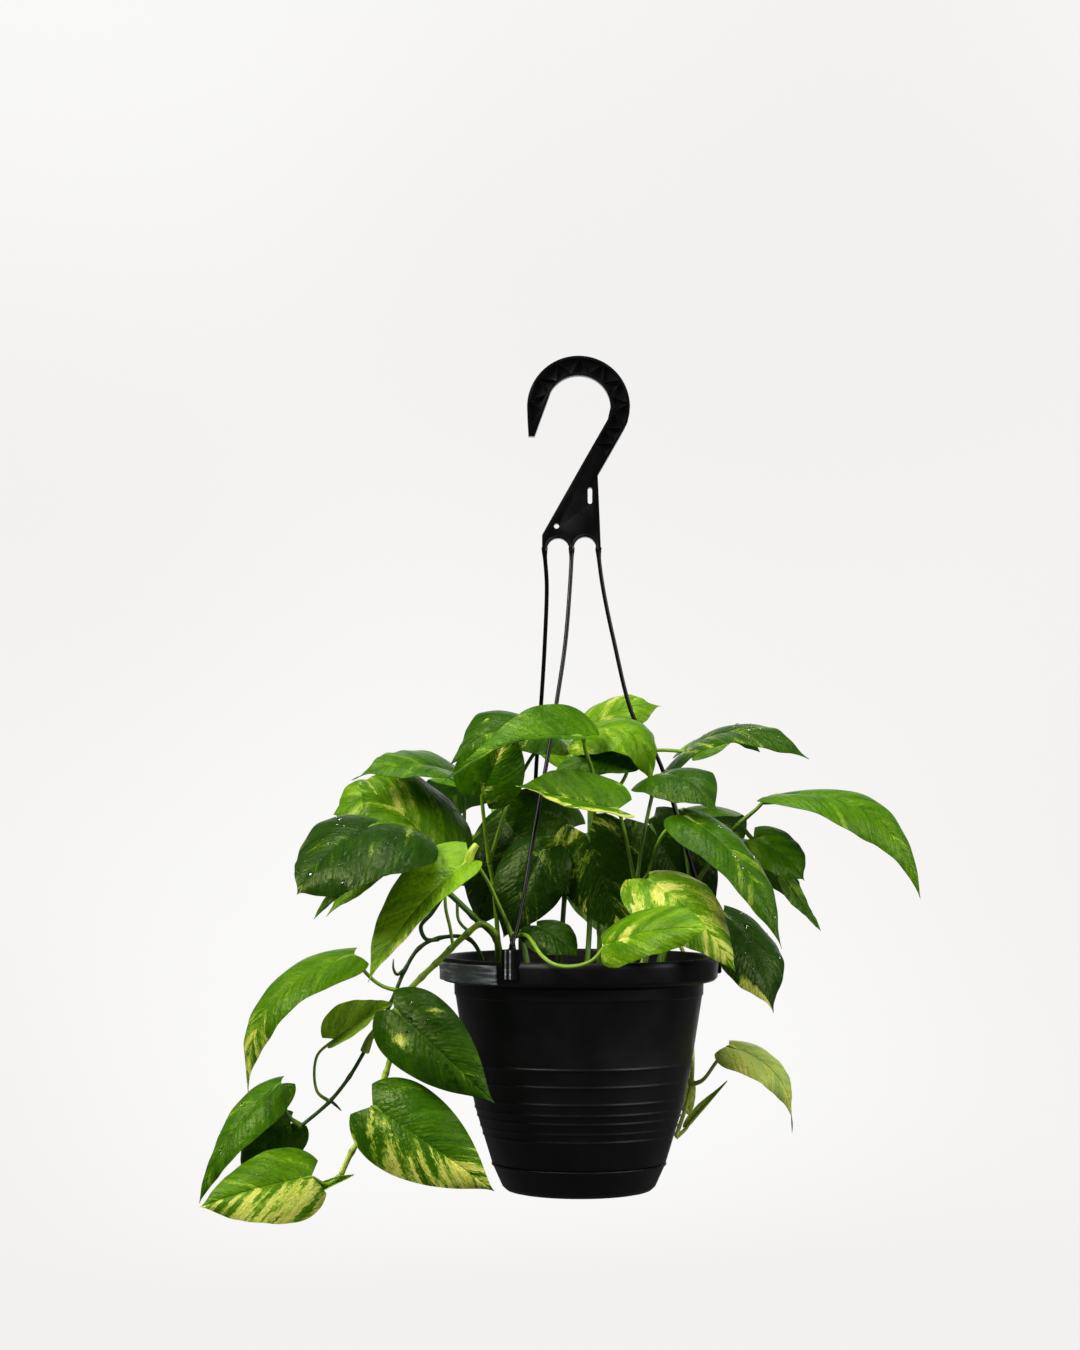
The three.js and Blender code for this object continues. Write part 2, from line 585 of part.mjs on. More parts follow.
        face: [-0.3, 0.45, 0.85], width: 74, arch: 16 },
      { node: 2, via: [[-64, 80, -300]], base: [-66, 92, -292], tip: [-100, 164, -325],
        face: [-0.1, 0.5, 0.86], width: 72, arch: 16 },
      { node: 0, via: [[-66, 54, -370]], base: [-88, 62, -364], tip: [-122, 108, -400],
        face: [-0.5, 0.4, 0.75], width: 50, arch: 14 },
      { node: 2, via: [[-48, 50, -312]], base: [-36, 34, -318], tip: [-74, 24, -398],
        face: [-0.2, -0.85, 0.45], width: 72, arch: 8 },
    ],
  },
  {
    name: "stem_back", radius: 2.1, root: [6, 50],
    stem: [[8, 60, -388], [8, 68, -340], [8, 72, -300]],
    leaves: [
      { node: 1, via: [[10, 90, -330]], base: [12, 108, -335], tip: [20, 190, -410],
        face: [0, 0.7, 0.7], width: 78, arch: 18 },
      { node: 2, via: [[18, 76, -280], [54, 80, -270]], base: [80, 84, -269], tip: [130, 128, -271],
        face: [0.2, 0.2, 0.96], width: 50, arch: 12 },
      { node: 2, base: [-4, 76, -276], tip: [-48, 136, -262], face: [-0.1, 0.4, 0.9], width: 62,
        arch: 14 },
    ],
  },
  {
    name: "stem_back_right", radius: 2, root: [46, 32],
    stem: [[58, 42, -392], [72, 52, -350]],
    leaves: [
      { node: 1, via: [[86, 58, -338]], base: [98, 62, -334], tip: [158, 104, -382],
        face: [0.4, 0.3, 0.87], width: 72, arch: 16 },
      { node: 1, via: [[72, 72, -325]], base: [74, 90, -312], tip: [112, 160, -350],
        face: [0.1, 0.5, 0.86], width: 70, arch: 14 },
      { node: 1, via: [[62, 50, -326]], base: [52, 36, -324], tip: [92, 30, -406],
        face: [0.1, -0.9, 0.4], width: 72, arch: 8 },
    ],
  },
  {
    name: "vine_trailing_back", radius: 1.8, root: [-14, 62],
    stem: [[-16, 84, -400], [-18, 104, -406], [-20, 118, -424], [-22, 122, -465], [-20, 122, -505],
      [-17, 121, -528]],
    leaves: [
      { node: 3, via: [[-34, 128, -462]], base: [-42, 132, -464], tip: [-66, 150, -535],
        face: [-0.4, 0.8, 0.4], width: 64, arch: 12 },
      { node: 4, via: [[-8, 130, -500]], base: [4, 134, -500], tip: [34, 146, -575],
        face: [0.2, 0.9, 0.35], width: 62, arch: 12 },
      { node: 5, base: [-20, 124, -540], tip: [-28, 130, -574], face: [0, 0.9, 0.3], width: 40, arch: 5,
        stalk: 1.2 },
    ],
  },
];

// Each leaf's ripples start at their own place, so no two blades wave alike.
const PHASE_STEP = 0.618;
let leafCount = 0;
for (const vine of vines) {
  vine.leaves = vine.leaves.map((leaf) => {
    const phase = (PHASE_STEP * leafCount++) % 1;
    return { ...USUAL_LEAF, ...leaf, phase };
  });
}

// Materials
const plastic = { color: 0x1a1a1b, roughness: 0.55, metalness: 0 };
const finishes = {
  pot: plastic,
  saucer: plastic,
  hanger: { color: 0x202021, roughness: 0.45, metalness: 0 },
  soil: { color: 0x1c130d, roughness: 1, metalness: 0 },
  leaf: { color: 0x3c7a1c, roughness: 0.35, metalness: 0 },
};

const root = new THREE.Group();
root.name = "potted_hawaiian_pothos";

function place(name, geometry, finish) {
  const mesh = new THREE.Mesh(geometry, new THREE.MeshStandardMaterial(finishes[finish]));
  mesh.name = name;
  root.add(mesh);
}

place("pot", pot(), "pot");
place("saucer", saucer(), "saucer");
place("soil", soil(vines.map((vine) => stem(vine, HOLE_CLEARANCE))), "soil");
place("hanger_hook", hook(), "hanger");
for (const name of Object.keys(strands)) place("hanger_strand_" + name, strand(name), "hanger");
for (const vine of vines) place(vine.name, leafyVine(vine), "leaf");

export default root;
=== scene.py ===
"""A Hawaiian pothos in a black plastic hanging basket: the looks over the CAD frame.

Lengths are millimetres in the row frame until a mesh is made, where MM turns them into metres.
Lights and camera are in metres.
"""
import math
import random
from itertools import product

import bpy
import numpy as np
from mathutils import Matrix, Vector, noise


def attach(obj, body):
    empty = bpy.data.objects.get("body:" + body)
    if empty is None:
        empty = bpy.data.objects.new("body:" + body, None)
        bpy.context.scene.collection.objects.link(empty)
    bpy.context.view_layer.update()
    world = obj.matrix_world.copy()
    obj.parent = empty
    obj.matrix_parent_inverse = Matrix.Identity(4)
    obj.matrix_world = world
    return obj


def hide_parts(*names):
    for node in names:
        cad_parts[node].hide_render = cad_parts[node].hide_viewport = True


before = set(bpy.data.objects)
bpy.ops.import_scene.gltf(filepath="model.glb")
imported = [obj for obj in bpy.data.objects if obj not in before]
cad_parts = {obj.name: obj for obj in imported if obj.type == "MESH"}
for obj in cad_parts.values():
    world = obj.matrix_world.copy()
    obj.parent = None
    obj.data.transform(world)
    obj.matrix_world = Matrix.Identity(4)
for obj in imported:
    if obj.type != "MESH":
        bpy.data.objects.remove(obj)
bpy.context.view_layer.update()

MM = 0.001
# The viewer's eye, in front of the pot's axis and below the hook.
EYE_DISTANCE = 2080.0
EYE_HEIGHT = -303.9


# Geometry helpers
def seen(place):
    """A point named by where the viewer sees it on the plane of the pot's axis, at its own depth."""
    x, depth, z = place
    k = (EYE_DISTANCE + depth) / EYE_DISTANCE
    return np.array([x * k, depth, EYE_HEIGHT + (z - EYE_HEIGHT) * k])


def unit(v):
    return v / np.maximum(np.linalg.norm(v, axis=-1, keepdims=True), 1e-9)


def smooth(x):
    """0 below 0 and 1 above 1, with a soft step between them."""
    x = np.clip(x, 0.0, 1.0)
    return x * x * (3 - 2 * x)


def path(points, step):
    """A centripetal Catmull-Rom curve through the points, sampled evenly about every `step`."""
    pts = [np.array(p, float) for p in points]
    ext = [2 * pts[0] - pts[1]] + pts + [2 * pts[-1] - pts[-2]]
    dense = []
    w = np.linspace(0, 1, 25)[:-1, None]
    for p0, p1, p2, p3 in zip(ext, ext[1:], ext[2:], ext[3:]):
        a, b, c = (max(np.linalg.norm(q - p) ** 0.5, 1e-3) for p, q in ((p0, p1), (p1, p2), (p2, p3)))
        m1 = ((p1 - p0) / a - (p2 - p0) / (a + b) + (p2 - p1) / b) * b
        m2 = ((p2 - p1) / b - (p3 - p1) / (b + c) + (p3 - p2) / c) * b
        dense.append(
            (2 * w**3 - 3 * w**2 + 1) * p1 + (w**3 - 2 * w**2 + w) * m1
            + (3 * w**2 - 2 * w**3) * p2 + (w**3 - w**2) * m2
        )
    dense = np.vstack(dense + [pts[-1][None]])
    run = np.concatenate([[0], np.cumsum(np.linalg.norm(np.diff(dense, axis=0), axis=1))])
    even = np.linspace(0, run[-1], max(4, int(run[-1] / step) + 1))
    return np.stack([np.interp(even, run, dense[:, i]) for i in range(3)], axis=1), even


def new_object(name, verts, faces):
    me = bpy.data.meshes.new(name)
    me.from_pydata(verts.tolist(), [], faces)
    me.update()
    ob = bpy.data.objects.new(name, me)
    bpy.context.collection.objects.link(ob)
    return ob


class Builder:
    """Gathers the parts of one mesh with its per-vertex attributes."""

    VECTORS, NUMBERS = ("leaf_place", "leaf_tone"), ("leaf_gold", "leaf_under")

    def __init__(self):
        self.verts, self.faces, self.mats, self.count = [], [], [], 0
        self.values = {key: [] for key in self.VECTORS + self.NUMBERS}

    def add(self, verts, faces, mat=0, place=0.0, tone=0.0, gold=0.0, under=0.0):
        n = len(verts)
        self.verts.append(np.asarray(verts, float))
        self.faces += [tuple(i + self.count for i in f) for f in faces]
        self.mats += [mat] * len(faces)
        self.count += n
        for key, value in zip(self.values, (place, tone, gold, under)):
            shape = (n, 3) if key in self.VECTORS else n
            self.values[key].append(np.broadcast_to(value, shape).ravel())

    def make(self, name, materials, replaces, sharp):
        """The piece on its body. Edges above `sharp` degrees stay sharp."""
        ob = new_object(name, np.vstack(self.verts) * MM, self.faces)
        me = ob.data
        for key, values in self.values.items():
            kind, field = ("FLOAT_VECTOR", "vector") if key in self.VECTORS else ("FLOAT", "value")
            me.attributes.new(key, kind, "POINT").data.foreach_set(field, np.concatenate(values))
        for m in materials:
            me.materials.append(m)
        me.polygons.foreach_set("material_index", self.mats)
        me.shade_smooth()
        me.set_sharp_from_angle(angle=math.radians(sharp))
        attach(ob, "root")
        if replaces:
            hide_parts(*replaces)


def ring(first, count):
    """The numbers of `count` vertices, from the first one on."""
    return list(range(first, first + count))


def circle(radius, z, count):
    turns = [2 * math.pi * j / count for j in range(count)]
    return [(radius * math.cos(a), radius * math.sin(a), z) for a in turns]


def skin(rings, flip=False):
    """Faces between closed rings of vertex numbers. A ring can be one vertex, repeated."""
    faces = []
    for low, high in zip(rings, rings[1:]):
        for j in range(len(low)):
            k = (j + 1) % len(low)
            quad = (low[j], high[j], high[k], low[k]) if flip else (low[j], low[k], high[k], high[j])
            face = tuple(dict.fromkeys(quad))
            if len(face) > 2:
                faces.append(face)
    return faces


def tube(points, radius, sides):
    """A round tube along sampled points. `radius` is one number, or one for each point."""
    points = np.asarray(points)
    n = len(points)
    radius = np.broadcast_to(np.asarray(radius, float), (n,))
    ahead = unit(np.gradient(points, axis=0))
    side = unit(np.cross(ahead[0], (0.3, 0.2, 0.93)))
    angle = np.linspace(0, 2 * np.pi, sides, endpoint=False)[:, None]
    circles = []
    for i in range(n):
        side = unit(side - ahead[i] * np.dot(side, ahead[i]))
        other = np.cross(ahead[i], side)
        circles.append(points[i] + radius[i] * (np.cos(angle) * side + np.sin(angle) * other))
    rings = [ring(i * sides, sides) for i in range(n)]
    caps = [tuple(rings[0][::-1]), tuple(rings[-1])]
    return np.vstack(circles), skin(rings) + caps


def lathe(profile, segments):
    """Turns [radius, z] points about the pot's axis. A point on the axis becomes one vertex."""
    verts, rings = [], []
    for r, z in profile:
        rings.append(ring(len(verts), segments) if r else [len(verts)] * segments)
        verts += circle(r, z, segments if r else 1)
    return np.array(verts, float), skin(rings)


def fillet(profile, radius):
    """Rounds each inner corner of an open [radius, z] profile."""
    out = [profile[0]]
    for before, corner, after in zip(profile, profile[1:], profile[2:]):
        p, c, q = (np.array(v, float) for v in (before, corner, after))
        reach = min(radius, 0.45 * np.linalg.norm(p - c), 0.45 * np.linalg.norm(q - c))
        a, b = c + reach * unit(p - c), c + reach * unit(q - c)
        for w in (0, 0.5, 1):
            out.append(tuple((1 - w) ** 2 * a + 2 * w * (1 - w) * c + w * w * b))
    return out + [profile[-1]]


def box(centre, size, turn, bevel):
    """A box with chamfered edges, `turn` degrees about Z: 24 vertices and 26 faces."""
    half = [0.5 * v for v in size]
    bevel = min(bevel, 0.4 * min(size))
    corners = list(product((-1, 1), repeat=3))
    verts, index = [], {}
    for corner in corners:
        for axis in range(3):
            index[(*corner, axis)] = len(verts)
            verts.append([s * (h - bevel * (i != axis)) for i, (s, h) in enumerate(zip(corner, half))])
    faces = []
    for axis in range(3):
        u, v = (axis + 1) % 3, (axis + 2) % 3

        def at(own, a, c, face_axis):
            """The corner's vertex on the face across `face_axis`."""
            corner = [0, 0, 0]
            corner[axis], corner[u], corner[v] = own, a, c
            return index[(*corner, face_axis)]

        for s in (-1, 1):
            side = tuple(at(s, a, c, axis) for a, c in ((-1, -1), (1, -1), (1, 1), (-1, 1)))
            faces.append(side[::s])
        for a, c in product((-1, 1), repeat=2):
            edge = (at(-1, a, c, u), at(1, a, c, u), at(1, a, c, v), at(-1, a, c, v))
            faces.append(edge[::a * c])
    for corner in corners:
        triangle = tuple(index[(*corner, axis)] for axis in range(3))
        faces.append(triangle[::math.prod(corner)])
    c, s = math.cos(math.radians(turn)), math.sin(math.radians(turn))
    verts = np.array(verts, float) @ np.array([[c, s, 0], [-s, c, 0], [0, 0, 1]])
    return verts + np.asarray(centre, float), faces


# Materials
class Nodes:
    """Short names for building a node material."""

    def __init__(self, name):
        self.mat = bpy.data.materials.new(name)
        self.mat.use_nodes = True
        self.tree = self.mat.node_tree
        self.tree.nodes.clear()
        self.out = self.new("ShaderNodeOutputMaterial")

    def new(self, kind, **settings):
        n = self.tree.nodes.new(kind)
        for k, v in settings.items():
            setattr(n, k, v)
        return n

    def put(self, socket, value):
        if isinstance(value, bpy.types.NodeSocket):
            self.tree.links.new(value, socket)
        elif isinstance(value, (tuple, list)) and len(value) == 3 and socket.type == "RGBA":
            socket.default_value = (*value, 1)
        else:
            socket.default_value = value

    def fill(self, node, values):
        """Puts the values in the node's first sockets, and returns its first output."""
        for socket, value in zip(node.inputs, values):
            self.put(socket, value)
        return node.outputs[0]

    def attribute(self, name, output="Vector"):
        return self.new("ShaderNodeAttribute", attribute_name=name).outputs[output]

    def object_place(self):
        return self.new("ShaderNodeTexCoord").outputs["Object"]

    def math(self, operation, *values):
        return self.fill(self.new("ShaderNodeMath", operation=operation), values)

    def times(self, a, b):
        return self.math("MULTIPLY", a, b)

    def plus(self, a, b):
        return self.math("ADD", a, b)

    def mix(self, factor, a, b, blend="MIX"):
        n = self.new("ShaderNodeMix", data_type="RGBA", blend_type=blend)
        self.put(n.inputs[0], factor)
        self.put(n.inputs[6], a)
        self.put(n.inputs[7], b)
        return n.outputs[2]

    def tinted(self, colour, factors):
        """The colour, with each of its channels times a factor of its own."""
        return self.mix(1.0, colour, factors, "MULTIPLY")

    def blend(self, share, first, second):
        """Two shaders, with that share of the second."""
        return self.fill(self.new("ShaderNodeMixShader"), (share, first, second))

    def spread(self, value, low, high, to_low=0.0, to_high=1.0):
        """The value's way from low to high, as a soft step from to_low to to_high."""
        n = self.new("ShaderNodeMapRange", interpolation_type="SMOOTHSTEP")
        return self.fill(n, (value, low, high, to_low, to_high))

    def scaled(self, vector, factors):
        return self.fill(self.new("ShaderNodeVectorMath", operation="MULTIPLY"), (vector, factors))

    def noise(self, vector, scale, detail, rough=0.5):
        """Fractal noise. `scale` is one number, or one for each axis."""
        if isinstance(scale, tuple):
            vector, scale = self.scaled(vector, scale), 1.0
        n = self.new("ShaderNodeTexNoise")
        for key, value in (("Vector", vector), ("Scale", scale), ("Detail", detail), ("Roughness", rough)):
            self.put(n.inputs[key], value)
        return n.outputs[0]

    def bump(self, height, distance):
        n = self.new("ShaderNodeBump")
        self.put(n.inputs["Height"], height)
        n.inputs["Distance"].default_value = distance
        return n.outputs[0]

    def principled(self, **values):
        n = self.new("ShaderNodeBsdfPrincipled")
        for k, v in values.items():
            self.put(n.inputs[k.replace("_", " ")], v)
        return n.outputs[0]

    def finish(self, shader):
        self.tree.links.new(shader, self.out.inputs[0])
        return self.mat


def rgb(code):
    """Linear colour from an sRGB hex code."""
    parts = [int(code[i:i + 2], 16) / 255 for i in (0, 2, 4)]
    return tuple(c / 12.92 if c <= 0.04045 else ((c + 0.055) / 1.055) ** 2.4 for c in parts)


def blade_material():
    n = Nodes("leaf_blade")
    place, tone = n.attribute("leaf_place"), n.attribute("leaf_tone", "Color")
    gold, under = n.attribute("leaf_gold", "Fac"), n.attribute("leaf_under", "Fac")
    split = n.new("ShaderNodeSeparateXYZ")
    n.put(split.inputs[0], place)
    across, along, seed = split.outputs
    aside = n.math("ABSOLUTE", across)

    # Marks follow the side veins, which leave the midrib and sweep towards the tip.
    swept = n.math("SUBTRACT", along, n.times(aside, 0.75))
    straight = n.fill(n.new("ShaderNodeCombineXYZ"), (across, swept, seed))
    drift = n.new("ShaderNodeTexNoise")
    n.put(drift.inputs["Vector"], n.scaled(straight, (0.09, 0.12, 1)))
    warp = n.new("ShaderNodeVectorMath", operation="MULTIPLY_ADD")
    sweep = n.fill(warp, (drift.outputs[1], (14, 9, 0), straight))
    broad = n.noise(sweep, (0.028, 0.09, 1), 4.0, 0.6)
    fine = n.noise(sweep, (0.06, 0.36, 1), 4.0, 0.62)
    marks = n.spread(n.plus(n.times(broad, 0.7), n.times(fine, 0.3)), 0.31, 0.69)
    edge = n.math("SUBTRACT", 1.0, gold)
    golden = n.spread(marks, n.math("SUBTRACT", edge, 0.18), n.plus(edge, 0.26))

    light = n.spread(n.plus(n.times(fine, 0.5), n.times(broad, 0.5)), 0.36, 0.66)
    green = n.mix(light, n.tinted(tone, (0.52, 0.64, 0.5)), n.tinted(tone, (1.5, 1.28, 1.0)))
    flecks = n.noise(sweep, (0.16, 1.3, 1), 2.0)
    fleck = n.times(n.spread(flecks, 0.62, 0.78), n.spread(gold, 0.0, 0.4, 0.04, 0.6))
    green = n.mix(fleck, green, rgb("9cc34a"))
    lime = n.mix(0.5, tone, rgb("a9c53a"))
    yellow = n.mix(n.spread(flecks, 0.35, 0.7), rgb("bcc43c"), rgb("e2e080"))
    face = n.mix(n.spread(golden, 0.0, 0.55), green, lime)
    face = n.mix(n.spread(golden, 0.45, 1.0), face, yellow)

    # The midrib and the side veins are a little paler than the blade, and so is its back.
    rib = n.spread(aside, 0.3, 1.0, 1.0, 0.0)
    wave = n.math("SINE", n.plus(n.times(swept, 1.6), n.times(broad, 9.0)))
    vein = n.times(n.spread(wave, 0.6, 1.0), n.spread(drift.outputs[0], 0.42, 0.62, 0.25, 1.0))
    pale = n.tinted(face, (1.7, 1.5, 1.5))
    face = n.mix(n.times(rib, 0.5), face, pale)
    face = n.mix(n.times(vein, 0.11), face, pale)
    colour = n.mix(under, face, n.mix(0.45, face, rgb("8cc45c")))

    relief = n.times(wave, n.spread(drift.outputs[0], 0.40, 0.64, 0.04, 0.3))
    swelling = n.times(n.noise(place, (0.22, 0.26, 1), 2.0), 3.2)
    normal = n.bump(n.plus(n.plus(relief, n.times(rib, -1.2)), swelling), 0.00032)
    rough = n.spread(n.noise(place, (0.12, 0.15, 1), 2.0), 0.3, 0.7, 0.28, 0.44)
    rough = n.plus(rough, n.times(under, 0.15))
    waxy = n.principled(Base_Color=colour, Roughness=rough, Normal=normal, IOR=1.36,
                        Specular_Tint=(0.7, 0.82, 0.32))
    through = n.new("ShaderNodeBsdfTranslucent")
    n.put(through.inputs[0], n.tinted(colour, (1.5, 1.5, 0.6)))
    n.put(through.inputs[1], normal)
    return n.finish(n.blend(0.24, waxy, through.outputs[0]))


def stalk_material():
    """Stalks are streaked along their length. Their leaf_gold is how scarred they are."""
    n = Nodes("leaf_stalk")
    place, tone = n.attribute("leaf_place"), n.attribute("leaf_tone", "Color")
    scarred = n.attribute("leaf_gold", "Fac")
    streak = n.noise(place, (1.1, 0.07, 1), 3.0, 0.6)
    blotch = n.noise(place, (0.5, 0.3, 1), 4.0, 0.6)
    dark, pale = n.tinted(tone, (0.62, 0.66, 0.6)), n.tinted(tone, (1.3, 1.22, 1.15))
    colour = n.mix(n.spread(streak, 0.35, 0.65), dark, pale)
    colour = n.mix(n.times(scarred, n.spread(blotch, 0.35, 0.6)), colour, rgb("4a3a20"))
    height = n.plus(streak, n.times(blotch, 0.6))
    rough = n.spread(blotch, 0.3, 0.7, 0.36, 0.55)
    return n.finish(n.principled(Base_Color=colour, Roughness=rough, Normal=n.bump(height, 0.00025)))


def plastic_material(name, dark, pale, rough, grain, scuff_and_sheen_share, ior, worn_and_sheen=0.0):
    """Moulded plastic: an eggshell grain, uneven gloss, and thin pale scuffs, which the last argument
    spreads. On the brim's panel the wide-spread scuffs are partly painted reflection.
    """
    n = Nodes(name)
    place = n.object_place()
    patch = n.noise(place, 38.0, 4.0, 0.6)
    grains = n.noise(place, 1500.0, 2.0)
    lines = n.noise(place, (45.0, 45.0, 420.0), 3.0, 0.65)
    scuff_and_sheen = n.times(n.spread(lines, 0.60 - worn_and_sheen, 0.78 - worn_and_sheen), n.spread(patch, 0.45 - worn_and_sheen, 0.68 - worn_and_sheen))
    colour = n.mix(n.spread(patch, 0.4, 0.8), dark, n.mix(0.15, dark, pale))
    colour = n.mix(n.times(scuff_and_sheen, scuff_and_sheen_share), colour, pale)
    dull = n.plus(n.spread(patch, 0.3, 0.7, rough - 0.06, rough + 0.08), n.times(scuff_and_sheen, 0.15))
    height = n.plus(n.times(grains, 0.4), n.times(lines, 0.25))
    return n.finish(n.principled(Base_Color=colour, Roughness=dull, Normal=n.bump(height, grain), IOR=ior))


def soil_material():
    n = Nodes("soil_mix")
    place = n.object_place()
    crumbs = n.noise(place, 420.0, 5.0, 0.7)
    patch = n.noise(place, 60.0, 3.0, 0.6)
    colour = n.mix(n.spread(crumbs, 0.35, 0.7), rgb("0c0805"), rgb("35251a"))
    colour = n.mix(n.spread(patch, 0.4, 0.8), colour, rgb("1a110b"))
    return n.finish(n.principled(Base_Color=colour, Roughness=0.95, Normal=n.bump(crumbs, 0.002)))


def chip_material(name, dark, pale, rough):
    n = Nodes(name)
    grain = n.noise(n.object_place(), (500.0, 900.0, 260.0), 4.0, 0.65)
    colour = n.mix(n.spread(grain, 0.3, 0.7), dark, pale)
    return n.finish(n.principled(Base_Color=colour, Roughness=rough, Normal=n.bump(grain, 0.0006)))


def water_material():
    n = Nodes("water_drop")
    return n.finish(n.principled(Base_Color=(1, 1, 1), Roughness=0.02, IOR=1.33, Transmission_Weight=1.0))


def stage_material():
    """Pale paper that glows a little, so that it stays even."""
    n = Nodes("stage_paper")
    soft = n.spread(n.noise(n.object_place(), 0.35, 1.0, 0.4), 0.3, 0.7)
    colour = n.mix(soft, (0.86, 0.85, 0.835), (0.93, 0.925, 0.92))
    paper = n.principled(Base_Color=colour, Roughness=1.0)
    glow = n.fill(n.new("ShaderNodeEmission"), (colour, 1.11))
    return n.finish(n.blend(0.9, paper, glow))


BLADE, STALK = blade_material(), stalk_material()
POT = plastic_material("pot_plastic", rgb("010101"), rgb("1a1a1a"), 0.46, 0.00012, 0.3, 1.36)
# The panel's greys, much lighter than the black pot, are painted reflection and a painted lift against the
# brim's shade. Its scuffs are partly real wear.
PANEL_WITH_PAINTED_REFLECTION = plastic_material("scuffed_panel_painted_reflection", rgb("7a7c80"), rgb("eceef2"), 0.48, 0.0004, 0.9, 1.5, 0.13)
HANGER = plastic_material("hanger_plastic", rgb("020202"), rgb("101011"), 0.34, 0.00010, 0.25, 1.3)
SOIL = soil_material()
BARK = chip_material("bark_chip", rgb("23150c"), rgb("5c4128"), 0.9)
PERLITE = chip_material("perlite", rgb("b9b5aa"), rgb("e9e6dd"), 0.85)
WATER = water_material()


# The plant
# A blade's green at each tone. The palest stop, at 1.5, is painted light: the glow of leaves lit from
# behind. Stalks are a little redder.
GREENS = {0.0: "1a3a03", 0.3: "3f7005", 0.6: "6f9f10", 1.0: "a3ca3c", 1.5: "dcea86"}
STALK_TINT = (1.25, 1.05, 1.0)
SOIL_TOP, SOIL_RADIUS = -432, 86.6
CHIPS, PERLITE_SHARE = 520, 0.2
STEM_FOOT, STEM_NECK = -456, -429  # a stem's lower end in the soil, and where it leaves the soil


class Leaf:
    """A leaf's place and shape, as in the CAD source, with its looks.

    It grows from the stem's point `node`. Its blade runs from `base` to `tip`, as the viewer sees them,
    with its upper side towards `face`. `tone` is from dark (0) to bright (1), and `gold` tells where
    the yellow marks are and how much of that place they take. On some leaves the tone also carries
    painted light and shade: leaves deep in the crown are near 0 partly as painted shade, and the
    back-lit trailing vine is above 1 as painted light.
    """

    via = ()  # what its petiole passes
    arch = 0  # how high the blade bows
    lobe = 60  # degrees that the lobes at its base swing back
    taper = 1.3  # how soon it narrows
    fold = 16  # degrees that its halves rise from the midrib
    curl = 30  # degrees that they bend down towards the edge
    twist = 0  # degrees that it turns from base to tip
    uneven = 0  # how much wider one half is than the mean
    stalk = 1.5  # the petiole's radius
    spots = ()  # single marks: place along, place across, size and share
    drops = 0  # how many water drops lie on it

    def __init__(self, node, base, tip, face, width, tone, gold, **others):
        self.node, self.base, self.tip, self.face, self.width = node, base, tip, face, width
        self.tone, self.gold = tone, gold
        for key, value in others.items():
            setattr(self, key, value)


